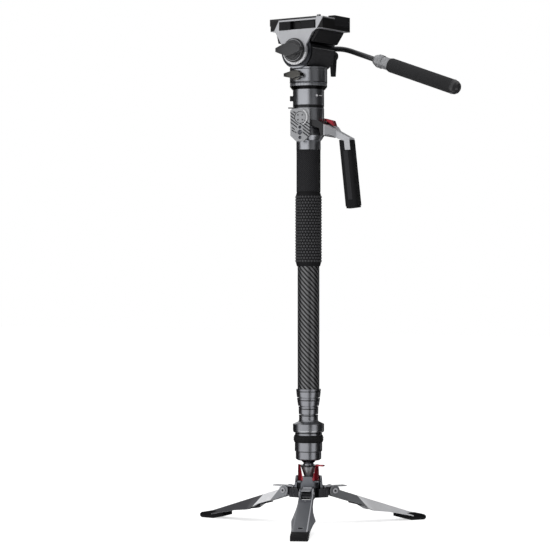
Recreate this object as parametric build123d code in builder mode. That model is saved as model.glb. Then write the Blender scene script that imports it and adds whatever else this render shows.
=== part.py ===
from build123d import *
from math import asin, cos, degrees, hypot, radians, sin
import os

os.makedirs("parts", exist_ok=True)

# Camera monopod. Z is up, the origin is on the tube axis at floor level, X runs along the head plate.

# Fits, gaps and cuts
overrun = 4.0
running_fit = 0.05
sleeve_fit = 0.04
face_gap = 0.15
seat_gap = 0.3

# Tube stack: four sections that slide in each other
top_tube_radius = 17.5
tube_step = 2.0
tube_wall = 1.25
tube_count = 4
ferrule_flare_height = 2.0
ferrule_flare_radius = 16.5
ferrule_height = 8.5
ferrule_radius = 15.25
collar_gap = 1.25
collar_heights = [13.0, 12.5, 12.0]
collar_top_radii = [19.75, 18.25, 15.9]
collar_foot_radii = [18.6, 16.6, 15.5]
collar_groove = 0.6
collar_groove_width = 1.4
collar_lip = 4.0
collet_length = 5.25
column_height = 446.0
tube_top_margin = 8.0
nest_step = 8.0
bush_length = 20.0

# Foot hub and its three arms
pin_height = 54.0
hub_radius = 17.0
hub_drop = 9.0
hub_shoulder_rise = 11.5
lobe_plate_thickness = 2.5
lobe_reach = 14.0
lobe_radius = 8.0
spigot_height = 4.5
leg_count = 3
first_leg_angle = 60.0
arm_width = 22.0
arm_reach = 30.0
arm_drop = 10.0
arm_rise = 4.0
arm_groove_depth = 0.8
arm_groove_width = 1.6
arm_groove_places = [20.0, 25.5]
lug_width = 15.0
lug_radius = 5.8
upright_inner = 16.0
upright_outer = 20.3
upright_rise = 9.5
upright_top_width = 13.6
upright_foot_rise = 3.0
upright_foot_width = 21.0

leg_angles = [first_leg_angle + 360 / leg_count * index for index in range(leg_count)]
hub_bottom = pin_height - hub_drop
arm_bottom = pin_height - arm_drop
arm_top = pin_height + arm_rise
hub_shoulder = arm_top + hub_shoulder_rise
upright_foot = arm_top + upright_foot_rise
upright_top = hub_shoulder + upright_rise
lobe_plate_top = hub_shoulder + lobe_plate_thickness
spigot_top = lobe_plate_top + spigot_height

# Leg hinge pins
pin_reach = 42.0
pin_radius = 2.5
pin_head_radius = 4.4
pin_head_height = 1.3

# Legs: a facetted casting, open below, that slopes down from its hinge
leg_run = 172.8
tip_rise = 1.57
leg_crown = 3.5
leg_depth = 12.8
leg_half_width = 11.0
ear_radius = 8.5
ear_thickness = 3.0
leg_slot_end = 30.0
leg_wall = 3.0
channel_start = 36.0
channel_end = 145.0
casting_end = 150.0
tongue_end = 166.0
tongue_half_width = 8.0
tongue_half_height = 1.4
hollow_radius = 3.0
hollow_place = 136.0
hollow_length = 9.0
hollow_depth = 2.0
leg_screw_radius = 1.4
leg_screw_depth = 0.8
leg_screw_places = [25.0, 35.5]
# Per station: place along the top and the bottom edge, depth, and the top and bottom half widths
leg_station_shares = [
    (0.0, 0.0, 0.742, 1.0, 1.0),
    (0.156, 0.156, 0.727, 1.0, 1.045),
    (0.26, 0.313, 0.688, 1.0, 1.27),
    (0.353, 0.431, 1.0, 1.02, 1.73),
    (0.579, 0.579, 0.605, 1.045, 1.545),
    (0.723, 0.723, 0.379, 1.064, 1.364),
    (0.868, 0.868, 0.195, 1.09, 1.255),
]
leg_gap = 2 * (leg_half_width - ear_thickness)
leg_slope = degrees(asin((pin_height - tip_rise) / leg_run))

# Leg rubbers: a boot over the tip and a bumper below the knee
boot_start = 161.0
sole_start = 181.0
boot_end = 207.5
boot_half_width = 13.4
boot_rise = 12.2
# Side outline of the boot, as shares of its length behind sole_start and past it, and of its rise
boot_back_shares = [(-1.0, 0.45), (-1.0, 0.95), (0.0, 1.06)]
boot_front_shares = [(0.08, 1.02), (0.4, 0.9), (0.87, 0.72), (1.0, 0.5), (1.0, 0.2), (0.87, 0.0)]
bumper_start = 76.0
bumper_end = 98.0
bumper_half_width = 9.5
bumper_drop = 9.5
bumper_slope_share = 0.25

# Leg latches: sprung plates that lie over the hinges
latch_pivot_reach = 25.5
latch_pivot_rise = 2.8
latch_barrel_radius = 2.6
latch_trunnion_radius = 1.2
latch_width = 14.0
latch_thickness = 1.6
latch_end = 65.0
latch_cheek_width = 2.0
latch_cheek_half_length = 2.6
latch_cheek_rise = 1.8

latch_pivot_height = arm_top + latch_pivot_rise
latch_cheek_top = latch_pivot_height + latch_cheek_rise

# Ball joint and tilt lock
ball_radius = 10.0
ball_drop = 0.5
seat_wall = 0.9
cup_foot_radius = 6.5
cup_foot_height = 1.0
cup_rim_radius = 12.2
cup_height = 17.0
seat_liner_drop = 7.5
retainer_radius = 14.3
retainer_thickness = 3.0
neck_foot_rise = 7.0
neck_foot_radius = 8.8
neck_top_radius = 12.8
spindle_radius = 6.0
spindle_length = 26.3
rotor_radius = 14.0
rotor_floor_rise = 7.8
rotor_height = 16.0
cage_outer = 17.0
cage_wall = 2.5
cage_ring_height = 5.0
cage_rim_rise = 4.5
cage_prong_count = 3
prong_gap_foot = 17.0
prong_gap_top = 26.4
tab_reach = 29.0
tab_drop = 2.8
tab_thickness = 2.4
tab_width = 6.0

cup_rim_height = spigot_top + cup_height
ball_height = cup_rim_height - ball_drop
neck_foot_height = ball_height + neck_foot_rise
cage_top = cup_rim_height + cage_rim_rise
tab_bottom = cage_top - tab_drop

# Base housing with its fluid damper
housing_rise = 11.2
housing_foot_radius = 17.5
housing_foot_rise = 2.3
lower_shell_radius = 20.5
lower_groove_rise = 13.3
lower_groove_width = 1.0
lower_groove_depth = 0.6
upper_shell_radius = 22.0
shell_height = 28.8
shell_round = 0.6
rubber_radius = 24.0
rubber_edge_radius = 22.6
rubber_core_radius = 20.0
rubber_height = 11.0
rubber_groove = 0.6
rubber_groove_width = 1.2
trim_ring_radius = 21.75
trim_ring_height = 3.0
trim_groove_radius = 20.8
trim_groove_height = 2.0
cap_foot_radius = 24.0
cap_radius = 25.0
cap_foot_rise = 2.5
cap_height = 18.0
cap_crown_radius = 19.5
cap_crown_rise = 2.6
cap_lip_rise = 1.4

housing_bottom = ball_height + housing_rise
spindle_top = housing_bottom + spindle_length
rotor_bottom = housing_bottom + rotor_floor_rise
rotor_top = rotor_bottom + rotor_height
lower_groove_bottom = housing_bottom + lower_groove_rise
shell_top = housing_bottom + shell_height
rubber_top = shell_top + rubber_height
cap_shoulder = rubber_top + cap_height
cap_crown_height = cap_shoulder + cap_crown_rise
base_cap_top = cap_crown_height + cap_lip_rise

# Heights of the tubes and of their collars
tube_socket_top = base_cap_top + column_height
tube_radii = [top_tube_radius - tube_step * index for index in range(tube_count)]
ferrule_floor = base_cap_top + ferrule_flare_height
ferrule_top = ferrule_floor + ferrule_height
collar_bottom_3 = ferrule_top + collar_gap
collar_bottom_2 = collar_bottom_3 + collar_heights[2] + collar_gap
collar_bottom_1 = collar_bottom_2 + collar_heights[1] + collar_gap
collar_bottoms = [collar_bottom_1, collar_bottom_2, collar_bottom_3]
tube_bottoms = [bottom + collar_lip + collet_length for bottom in collar_bottoms] + [ferrule_floor]
tube_tops = [tube_socket_top]
for index in range(1, tube_count):
    tube_tops.append(tube_socket_top - tube_top_margin - nest_step * index)

# Grips on the top tube
clamp_socket_depth = 12.0
lower_grip_length = 119.0
lower_grip_radius = 20.5
lower_grip_taper = 7.0
lower_grip_end_radius = 18.6
upper_grip_radius = 19.25
upper_grip_length = 67.0

upper_grip_top = tube_socket_top - clamp_socket_depth
lower_grip_top = upper_grip_top - upper_grip_length
lower_grip_bottom = lower_grip_top - lower_grip_length

# Clamp body on the top of the tube; its plate and handle are turned a little about Z
handle_angle = 11.0
clamp_collar_radius = 19.5
clamp_collar_height = 15.0
clamp_cone_radius = 20.5
clamp_cone_height = 7.0
clamp_radius = 25.0
clamp_drum_height = 44.0
pivot_drop = 16.0
boss_radius = 8.0
boss_reach = 30.7
spigot_radius = 20.0

clamp_collar_top = upper_grip_top + clamp_collar_height
clamp_cone_top = clamp_collar_top + clamp_cone_height
clamp_top = clamp_cone_top + clamp_drum_height
pivot_height = clamp_top - pivot_drop

# Accessory plate on the front of the clamp
plate_half_width = 16.5
plate_bottom_drop = 38.0
plate_shoulder_drop = 29.0
plate_top_rise = 14.0
plate_thickness = 3.6
plate_face = 35.0
plate_foot_half_width = 6.5
plate_top_chamfer = 3.0
plate_window_clearance = 0.6
stud_hole_radius = 4.0
small_hole_radius = 2.6
stud_hole_drop = 23.8
small_hole_offset = 8.2
side_hole_offset = 7.0
stud_hole_depth = 8.0
plate_post_half_width = 9.0
plate_post_foot_drop = 36.0
plate_post_drop = 11.6
guard_thickness = 1.6
guard_inner = 11.0
guard_outer = 14.5
rib_thickness = 0.7
rib_width = 1.6
rib_count = 4
rib_pitch = 6.0
disc_radius = 9.0
disc_thickness = 3.2
disc_screw_radius = 1.5
disc_screw_reach = 5.4
disc_screw_depth = 0.9

plate_bottom = pivot_height - plate_bottom_drop
plate_shoulder = pivot_height - plate_shoulder_drop
plate_top = pivot_height + plate_top_rise
stud_hole_height = pivot_height - stud_hole_drop
plate_post_bottom = pivot_height - plate_post_foot_drop
plate_post_top = pivot_height - plate_post_drop

# Side handle
yoke_inner = 26.2
yoke_outer = 30.2
yoke_ring_radius = 11.0
yoke_reach = 75.0
yoke_drop = 36.0
bridge_start = 31.0
bridge_end = 40.0
arm_start = 52.0
grip_lean = 6.15
grip_length = 106.0
grip_depth = 21.5
grip_width = 22.0
arm_half_width = grip_width / 2
grip_corner = 5.0
grip_top_reach = 66.5
grip_top_drop = 37.0
grip_cap_length = 3.0
strap_length = 15.0
strap_width = 9.0
strap_thickness = 1.2
trigger_hinge_reach = 31.0
trigger_hinge_drop = 4.0
trigger_barrel_radius = 2.2
trigger_trunnion_radius = 1.2
trigger_cheek_width = 2.0
trigger_width = 14.0
trigger_reach = 16.0
# Trigger side outline, as shares of its reach past the hinge
trigger_shares = [
    (-0.12, -0.09),
    (-0.06, 0.21),
    (0.81, -0.03),
    (1.0, -0.56),
    (0.94, -0.59),
    (0.31, -0.2),
    (0.0, -0.12),
]
grip_top_height = pivot_height - grip_top_drop
trigger_hinge_height = pivot_height - trigger_hinge_drop

# Neck between the clamp and the head
lock_ring_radius = 24.5
lock_ring_room = 3.5
neck_height = 26.5
neck_radius = 25.0
neck_spigot_radius = 21.0
drag_ring_room = 9.0
head_base_height = 23.0
head_base_radius = 30.0
head_base_round = 1.5
lever_angle = 215.0
ring_tab_reach = 32.5
ring_tab_thickness = 1.8
ring_tab_width = 5.0
button_rise = 8.5
button_height = 8.0
button_width = 8.0
button_reach = 29.8
button_depth = 17.0
drag_ring_foot_radius = 26.4
drag_ring_radius = 29.8
drag_ring_taper = 4.5
drag_ring_knurls = 36
drag_ring_knurl_depth = 0.5
drag_ring_knurl_width = 1.4
pan_spindle_radius = 10.0
pan_spindle_depth = 16.0
pan_knob_rise = 12.0
pan_knob_offset = 1.0
pan_boss_radius = 8.0
pan_boss_start = 28.0
pan_boss_end = 38.0
pan_wing_end = 49.0
pan_wing_half_length = 15.5
pan_wing_height = 12.0
pan_wing_tip_height = 5.0
pan_shaft_radius = 3.0
pan_shaft_depth = 8.0

neck_bottom = clamp_top + lock_ring_room
neck_top = neck_bottom + neck_height
button_bottom = neck_bottom + button_rise
button_top = button_bottom + button_height
head_base_bottom = neck_top + drag_ring_room
head_base_top = head_base_bottom + head_base_height
pan_knob_height = head_base_bottom + pan_knob_rise

# Turret: the drum that pans on the head base and carries the tilt axle
flange_radius = 30.0
flange_height = 3.0
drum_radius = 28.5
drum_sink = 0.5
drum_half_length = 34.7
drum_rim = 0.8
axle_radius = 6.0
cover_thickness = 0.8
cover_half_length = 31.0
cover_top = 3.5
cover_bottom = 23.0

flange_top = head_base_top + flange_height
tilt_height = head_base_top + drum_radius - drum_sink

# Tilt cradle
cradle_length = 100.0
cradle_rise = 49.0
cheek_inner = 35.5
cheek_outer = 39.5
cheek_disk_radius = 22.7
deck_bottom = 32.0
deck_top = 40.0
# Cheek outline, as shares of the cradle's length and rise above the tilt axis
cheek_back_shares = [
    (-0.16, 0.24),
    (-0.225, 0.122),
    (-0.28, 0.306),
    (-0.377, 0.643),
    (-0.465, 0.796),
    (-0.465, 1.0),
]
cheek_front_shares = [
    (0.534, 1.0),
    (0.43, 0.673),
    (0.334, 0.551),
    (0.258, 0.298),
    (0.21, 0.143),
    (0.16, 0.24),
]
rail_inner = 27.0
rail_recess_depth = 6.0
rail_recess_start_share = -0.3
rail_recess_end_share = 0.4
rail_recess_bottom = 33.0
rail_recess_top = 46.5
bezel_radius = 21.4
bezel_inner = 18.9
bezel_thickness = 1.0
flank_thickness = 3.0
flank_low = 13.0
end_block_width_share = 0.124
end_block_rise = 55.5
end_block_split = 4.7
end_light_rise = 51.0
rosette_radius = 13.0
rosette_boss_end = 45.3
rosette_stud_radius = 4.0

# Tilt drag dial and tilt lock knob, on the axle at the front
dial_radius = 18.5
dial_start = 39.8
dial_end = 44.5
knob_disc_radii = [15.8, 12.7]
knob_disc_steps = [2.2, 2.4]
wing_end = 60.0
wing_half_length = 23.0
wing_mid_half_height = 9.0
wing_tip_half_height = 3.0

# Pan bar
bar_plane_y = 52.0
bar_radius = 4.25
bar_rise = 9.3
bar_bend_start = 13.0
bar_slope = 19.5
bar_bend_radius = 107.0
bar_end_reach = 190.0
bar_block_half_length = 6.5
nut_start = 93.0
nut_lengths = [7.0, 9.5, 13.0]
nut_radii = [9.0, 10.5, 9.6]
nut_foot_share = 0.8
bar_grip_radius = 11.5
bar_grip_length = 122.0
bar_cap_length = 12.0
bar_grip_foot_share = 0.92
# End cap outline, as shares of the grip's radius and the cap's length
bar_cap_shares = [(1.0, 0.0), (0.94, 0.45), (0.72, 0.8), (0.4, 1.0)]
lever_hub_radius = 8.0
lever_hub_start = 58.9
lever_hub_end = 75.0
lever_blade_start = 69.0
lever_blade_length = 33.0
lever_root_width = 11.0
lever_tip_width = 6.0

# Camera plate and its controls
camera_plate_half_width = 25.0
camera_plate_foot_half_width = 20.0
camera_plate_bottom = 40.2
camera_plate_step = 43.0
camera_plate_top = 54.0
camera_plate_back = -58.0
camera_plate_front = 38.0
camera_slot_start = -40.0
camera_slot_end = 28.0
screw_radius = 3.175
screw_rise = 5.5
screw_neck_radius = 2.5
screw_head_radius = 8.0
screw_head_height = 3.0
screw_place = 20.0
plate_lever_pivot_x = 12.0
plate_lever_pivot_y = -36.0
plate_lever_length = 28.0
plate_lever_width = 4.4
plate_lever_pin_radius = 1.6
lever_pin_overhang = 2.0
plate_button_start = -28.0
plate_button_end = -8.0
plate_button_depth = 5.0
plate_button_proud = 1.0


def outline_face(points, plane):
    """A flat face on a plane, from the corners of its outline."""
    with BuildSketch(plane) as flat:
        with BuildLine():
            Polyline(*points, close=True)
        make_face()
    return flat.sketch


def turn(points, mode=Mode.ADD):
    """A turned piece about the tube axis, from (radius, height) corners."""
    revolve(outline_face(points, Plane.XZ), axis=Axis.Z, mode=mode)


def turn_along(points, plane, mode=Mode.ADD):
    """A turned piece about a plane's own y axis, from (radius, place) corners."""
    revolve(outline_face(points, plane), axis=Axis(plane.origin, plane.y_dir), mode=mode)


def slab(points, plane, thickness, mode=Mode.ADD):
    """A flat piece that stands out of a plane, along the plane's normal."""
    extrude(outline_face(points, plane), amount=thickness, mode=mode)


def rod(radius, plane, length, mode=Mode.ADD):
    """A round bar that stands out of a plane at the plane's origin."""
    with BuildSketch(plane) as flat:
        Circle(radius)
    extrude(flat.sketch, amount=length, mode=mode)


def sleeve(inner, outer, bottom, top, mode=Mode.ADD):
    """A plain ring about the tube axis."""
    turn([(inner, bottom), (outer, bottom), (outer, top), (inner, top)], mode)


def upright(angle, across, reach=0, height=0):
    """A standing plane turned about Z: x runs out along the angle, y up, and its normal faces the front."""
    out = Vector(cos(radians(angle)), sin(radians(angle)), 0)
    side = Vector(-out.Y, out.X, 0)
    return Plane(origin=side * across + out * reach + Vector(0, 0, height), x_dir=out, z_dir=-side)


def facing(angle, reach, height):
    """A standing plane that faces out along an angle, at that reach and height: x runs across, y up."""
    out = Vector(cos(radians(angle)), sin(radians(angle)), 0)
    return Plane(origin=out * reach + Vector(0, 0, height), x_dir=Vector(-out.Y, out.X, 0), z_dir=out)


def box_outline(start, end, bottom, top):
    """The four corners of an upright rectangle."""
    return [(start, bottom), (end, bottom), (end, top), (start, top)]


def shares_of(shares, length, rise, start=0, floor=0):
    """An outline from its shares of a length and a rise."""
    return [(start + x * length, floor + y * rise) for x, y in shares]

# Foot: the hub with its three arms, upright plates and latch cheeks
cage_inner = cage_outer - cage_wall
cup_bottom = spigot_top
with BuildPart() as foot_hub:
    sleeve(0, hub_radius, hub_bottom, hub_shoulder)
    with BuildSketch(Plane.XY.offset(hub_shoulder)):
        Circle(hub_radius)
        with PolarLocations(lobe_reach, cage_prong_count):
            Circle(lobe_radius)
    extrude(amount=lobe_plate_thickness)
    sleeve(0, cage_inner - running_fit, lobe_plate_top, spigot_top)
    for angle in leg_angles:
        slab(box_outline(0, arm_reach, arm_bottom, arm_top), upright(angle, arm_width / 2), arm_width)
        rod(lug_radius, upright(angle, lug_width / 2, pin_reach, pin_height), lug_width)
        slab(
            [
                (arm_reach - overrun, pin_height - lug_radius),
                (pin_reach, pin_height - lug_radius),
                (pin_reach, pin_height + lug_radius),
                (arm_reach, arm_top),
                (arm_reach - overrun, arm_top),
            ],
            upright(angle, lug_width / 2),
            lug_width,
        )
        plate_foot = arm_top - overrun
        slab(
            [
                (-upright_foot_width / 2, plate_foot),
                (upright_foot_width / 2, plate_foot),
                (upright_foot_width / 2, upright_foot),
                (upright_top_width / 2, upright_top),
                (-upright_top_width / 2, upright_top),
                (-upright_foot_width / 2, upright_foot),
            ],
            facing(angle, upright_inner, 0),
            upright_outer - upright_inner,
        )
        for side in (-1, 1):
            cheek_start = side * (latch_width / 2 + face_gap + latch_cheek_width / 2) + latch_cheek_width / 2
            cheek = box_outline(
                latch_pivot_reach - latch_cheek_half_length,
                latch_pivot_reach + latch_cheek_half_length,
                arm_top - overrun,
                latch_cheek_top,
            )
            slab(cheek, upright(angle, cheek_start), latch_cheek_width)
            groove_start = side * arm_width / 2 + arm_groove_depth
            for place in arm_groove_places:
                groove = box_outline(
                    place,
                    place + arm_groove_width,
                    arm_bottom - overrun,
                    arm_top - arm_groove_width,
                )
                slab(groove, upright(angle, groove_start), 2 * arm_groove_depth, Mode.SUBTRACT)
        rod(
            latch_trunnion_radius + running_fit,
            upright(angle, latch_width, latch_pivot_reach, latch_pivot_height),
            2 * latch_width,
            Mode.SUBTRACT,
        )
        rod(
            pin_radius + sleeve_fit,
            upright(angle, lug_width, pin_reach, pin_height),
            2 * lug_width,
            Mode.SUBTRACT,
        )
    cage_room = cage_outer + overrun
    sleeve(cage_inner - running_fit, cage_room, lobe_plate_top, upright_top + overrun, Mode.SUBTRACT)
    for angle in leg_angles:
        slab(
            [
                (-upright_top_width / 2, lobe_plate_top - overrun),
                (upright_top_width / 2, lobe_plate_top - overrun),
                (upright_top_width / 2, upright_top),
                (-upright_top_width / 2, upright_top),
            ],
            facing(angle, cage_outer + seat_gap, 0),
            upright_outer - cage_outer - seat_gap,
        )
foot_hub.part.label = "foot_hub"
export_step(foot_hub.part, "parts/foot_hub.step")

with BuildPart() as leg_hinge_pins:
    pin_half = leg_half_width + face_gap
    for angle in leg_angles:
        rod(pin_radius, upright(angle, pin_half, pin_reach, pin_height), 2 * pin_half)
        head_plane = upright(angle, pin_half + pin_head_height, pin_reach, pin_height)
        rod(pin_head_radius, head_plane, pin_head_height)
        rod(pin_head_radius, upright(angle, -pin_half, pin_reach, pin_height), pin_head_height)
leg_hinge_pins.part.label = "leg_hinge_pins"
export_step(leg_hinge_pins.part, "parts/leg_hinge_pins.step")

# Legs, their rubbers and their latches
for number, angle in enumerate(leg_angles, 1):
    radial = upright(angle, 0)
    slope_out = radial.x_dir * cos(radians(leg_slope)) - Vector(0, 0, sin(radians(leg_slope)))
    slope_up = radial.x_dir * sin(radians(leg_slope)) + Vector(0, 0, cos(radians(leg_slope)))
    hinge_point = radial.x_dir * pin_reach + Vector(0, 0, pin_height)
    # In the leg's own side plane x runs down the leg, y out of its crown, and the normal goes across it
    leg_side = Plane(origin=hinge_point, x_dir=slope_out, z_dir=radial.z_dir)
    with BuildPart() as leg:
        sections = []
        for top_share, bottom_share, depth_share, top_width_share, bottom_width_share in leg_station_shares:
            top_place = top_share * leg_run
            lean = bottom_share * leg_run - top_place
            drop = depth_share * leg_depth + leg_crown
            station = Plane(
                origin=hinge_point + slope_out * top_place + slope_up * leg_crown,
                x_dir=radial.z_dir,
                z_dir=radial.z_dir.cross(slope_out * lean - slope_up * drop),
            )
            top_half = top_width_share * leg_half_width
            bottom_half = bottom_width_share * leg_half_width
            length_down = hypot(lean, drop)
            sections.append(
                outline_face(
                    [(-top_half, 0), (top_half, 0), (bottom_half, length_down), (-bottom_half, length_down)],
                    station,
                )
            )
        loft(sections, ruled=True)
        rod(ear_radius, leg_side.offset(-leg_half_width), 2 * leg_half_width)
        tongue_plane = leg_side.offset(-tongue_half_width)
        slab(
            box_outline(casting_end - overrun, tongue_end, -tongue_half_height, tongue_half_height),
            tongue_plane,
            2 * tongue_half_width,
        )
        slab(
            box_outline(
                -ear_radius - overrun,
                leg_slot_end,
                -leg_depth - overrun,
                leg_crown + ear_radius + overrun,
            ),
            leg_side.offset(-leg_gap / 2),
            leg_gap,
            Mode.SUBTRACT,
        )
        slab(
            [
                (channel_start, -leg_depth - overrun),
                (channel_end, -leg_depth - overrun),
                (channel_end, -leg_wall),
                (casting_end / 2, leg_crown - leg_wall),
                (channel_start, leg_crown - leg_wall),
            ],
            leg_side.offset(-leg_gap / 2),
            leg_gap,
            Mode.SUBTRACT,
        )
        rod(pin_radius + running_fit, leg_side.offset(-leg_half_width * 2), leg_half_width * 4, Mode.SUBTRACT)
        crown_plane = Plane(
            origin=hinge_point + slope_out * hollow_place + slope_up * (leg_crown - hollow_depth),
            x_dir=slope_out,
            z_dir=slope_up,
        )
        with BuildSketch(crown_plane) as hollow:
            SlotOverall(hollow_length, 2 * hollow_radius, rotation=90)
        extrude(hollow.sketch, amount=hollow_depth + overrun, mode=Mode.SUBTRACT)
        for place in leg_screw_places:
            screw_plane = Plane(
                origin=hinge_point + slope_out * place + slope_up * (leg_crown - leg_screw_depth),
                x_dir=slope_out,
                z_dir=slope_up,
            )
            if place > leg_slot_end:
                rod(leg_screw_radius, screw_plane, leg_screw_depth + overrun, Mode.SUBTRACT)
    leg.part.label = f"leg_{number}"
    export_step(leg.part, f"parts/leg_{number}.step")

    boot_length = boot_end - sole_start
    boot_back = sole_start - boot_start
    boot_points = [(sole_start, 0)]
    boot_points += shares_of(boot_back_shares, boot_back, boot_rise, sole_start)
    boot_points += shares_of(boot_front_shares, boot_length, boot_rise, sole_start)
    bumper_top = pin_height - leg_depth
    with BuildPart() as leg_rubbers:
        slab(boot_points, upright(angle, boot_half_width), 2 * boot_half_width)
        slab(
            [
                (bumper_start, bumper_top - bumper_drop),
                (bumper_end, bumper_top - bumper_drop - bumper_slope_share * (bumper_end - bumper_start)),
                (bumper_end, pin_height - (bumper_end - pin_reach) * sin(radians(leg_slope)) - leg_crown),
                (bumper_start, bumper_top),
            ],
            upright(angle, bumper_half_width),
            2 * bumper_half_width,
        )
        add(leg.part, mode=Mode.SUBTRACT)
    leg_rubbers.part.label = f"leg_rubbers_{number}"
    export_step(leg_rubbers.part, f"parts/leg_rubbers_{number}.step")

    with BuildPart() as leg_latch:
        plate_low = latch_pivot_height - latch_thickness / 2
        slab(
            box_outline(latch_pivot_reach, latch_end, plate_low, plate_low + latch_thickness),
            upright(angle, latch_width / 2),
            latch_width,
        )
        barrel_plane = upright(angle, latch_width / 2, latch_pivot_reach, latch_pivot_height)
        rod(latch_barrel_radius, barrel_plane, latch_width)
        trunnion_half = latch_width / 2 + face_gap + latch_cheek_width
        rod(
            latch_trunnion_radius,
            upright(angle, trunnion_half, latch_pivot_reach, latch_pivot_height),
            2 * trunnion_half,
        )
    leg_latch.part.label = f"leg_latch_{number}"
    export_step(leg_latch.part, f"parts/leg_latch_{number}.step")

# Ball joint: cup, seat, ball with its stem, retaining ring and tilt lock cage
liner_inner = ball_radius + running_fit
liner_outer = liner_inner + seat_wall
liner_top = cup_rim_height - face_gap
with BuildPart() as ball_cup:
    turn(
        [
            (0, cup_bottom),
            (cup_foot_radius, cup_bottom),
            (cup_foot_radius, cup_bottom + cup_foot_height),
            (cup_rim_radius, cup_rim_height),
            (0, cup_rim_height),
        ]
    )
    add(Pos(0, 0, ball_height) * Sphere(liner_outer + running_fit, mode=Mode.PRIVATE), mode=Mode.SUBTRACT)
ball_cup.part.label = "ball_cup"
export_step(ball_cup.part, "parts/ball_cup.step")

with BuildPart() as ball_seat_liner:
    add(Pos(0, 0, ball_height) * Sphere(liner_outer, mode=Mode.PRIVATE))
    add(Pos(0, 0, ball_height) * Sphere(liner_inner, mode=Mode.PRIVATE), mode=Mode.SUBTRACT)
    sleeve(0, liner_outer + overrun, liner_top, ball_height + liner_outer + overrun, Mode.SUBTRACT)
    liner_foot = ball_height - seat_liner_drop
    sleeve(0, liner_outer + overrun, ball_height - liner_outer - overrun, liner_foot, Mode.SUBTRACT)
ball_seat_liner.part.label = "ball_seat_liner"
export_step(ball_seat_liner.part, "parts/ball_seat_liner.step")

with BuildPart() as ball_retaining_ring:
    retainer_top = cup_rim_height + retainer_thickness
    retainer_round = retainer_thickness / 4
    turn(
        [
            (0, cup_rim_height),
            (retainer_radius - retainer_round, cup_rim_height),
            (retainer_radius, cup_rim_height + retainer_round),
            (retainer_radius, retainer_top - retainer_round),
            (retainer_radius - retainer_round, retainer_top),
            (0, retainer_top),
        ]
    )
    add(Pos(0, 0, ball_height) * Sphere(ball_radius + face_gap, mode=Mode.PRIVATE), mode=Mode.SUBTRACT)
ball_retaining_ring.part.label = "ball_retaining_ring"
export_step(ball_retaining_ring.part, "parts/ball_retaining_ring.step")

with BuildPart() as ball_stem:
    stem_face = housing_bottom - face_gap
    turn(
        [
            (0, ball_height),
            (neck_foot_radius / 2, ball_height),
            (neck_foot_radius / 2, neck_foot_height),
            (neck_foot_radius, neck_foot_height),
            (neck_top_radius, stem_face),
            (spindle_radius, stem_face),
            (spindle_radius, spindle_top),
            (0, spindle_top),
        ]
    )
    add(Pos(0, 0, ball_height) * Sphere(ball_radius, mode=Mode.PRIVATE))
ball_stem.part.label = "ball_stem"
export_step(ball_stem.part, "parts/ball_stem.step")

with BuildPart() as damper_rotor:
    sleeve(spindle_radius + sleeve_fit, rotor_radius, rotor_bottom, rotor_top)
damper_rotor.part.label = "damper_rotor"
export_step(damper_rotor.part, "parts/damper_rotor.step")

with BuildPart() as tilt_lock_cage:
    sleeve(cage_inner, cage_outer, lobe_plate_top + face_gap, cage_top)
    cage_ring_top = lobe_plate_top + cage_ring_height
    for index in range(cage_prong_count):
        gap_angle = first_leg_angle + 360 / cage_prong_count * index
        slab(
            [
                (-prong_gap_foot / 2, cage_ring_top),
                (prong_gap_foot / 2, cage_ring_top),
                (prong_gap_top / 2, cage_top + overrun),
                (-prong_gap_top / 2, cage_top + overrun),
            ],
            facing(gap_angle, 0, 0),
            cage_outer + overrun,
            Mode.SUBTRACT,
        )
    tab = box_outline((cage_inner + cage_outer) / 2, tab_reach, tab_bottom, tab_bottom + tab_thickness)
    slab(tab, upright(0, tab_width / 2), tab_width)
tilt_lock_cage.part.label = "tilt_lock_cage"
export_step(tilt_lock_cage.part, "parts/tilt_lock_cage.step")

# Base housing: lower shell, rubber ring, cap and ferrule
with BuildPart() as base_lower_shell:
    groove_top = lower_groove_bottom + lower_groove_width
    groove_radius = lower_shell_radius - lower_groove_depth
    cavity_radius = rotor_radius + seat_gap
    cavity_floor = rotor_bottom - seat_gap
    bore_radius = spindle_radius + running_fit
    turn(
        [
            (bore_radius, housing_bottom),
            (housing_foot_radius, housing_bottom),
            (lower_shell_radius, housing_bottom + housing_foot_rise),
            (lower_shell_radius, lower_groove_bottom),
            (groove_radius, lower_groove_bottom),
            (groove_radius, groove_top),
            (upper_shell_radius - shell_round, groove_top),
            (upper_shell_radius, groove_top + shell_round),
            (upper_shell_radius, shell_top - shell_round),
            (upper_shell_radius - shell_round, shell_top),
            (cavity_radius, shell_top),
            (cavity_radius, cavity_floor),
            (bore_radius, cavity_floor),
        ]
    )
base_lower_shell.part.label = "base_lower_shell"
export_step(base_lower_shell.part, "parts/base_lower_shell.step")

with BuildPart() as base_rubber_ring:
    rubber_inner = rubber_core_radius + sleeve_fit
    turn(
        [
            (rubber_inner, shell_top),
            (rubber_edge_radius, shell_top),
            (rubber_radius, shell_top + rubber_height / 4),
            (rubber_radius, shell_top + rubber_height / 4 * 3),
            (rubber_edge_radius, rubber_top),
            (rubber_inner, rubber_top),
        ]
    )
    for step in range(3):
        low = shell_top + rubber_height / 4 * (step + 1) - rubber_groove_width / 2
        high = low + rubber_groove_width
        sleeve(rubber_radius - rubber_groove, rubber_radius + overrun, low, high, Mode.SUBTRACT)
base_rubber_ring.part.label = "base_rubber_ring"
export_step(base_rubber_ring.part, "parts/base_rubber_ring.step")

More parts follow.
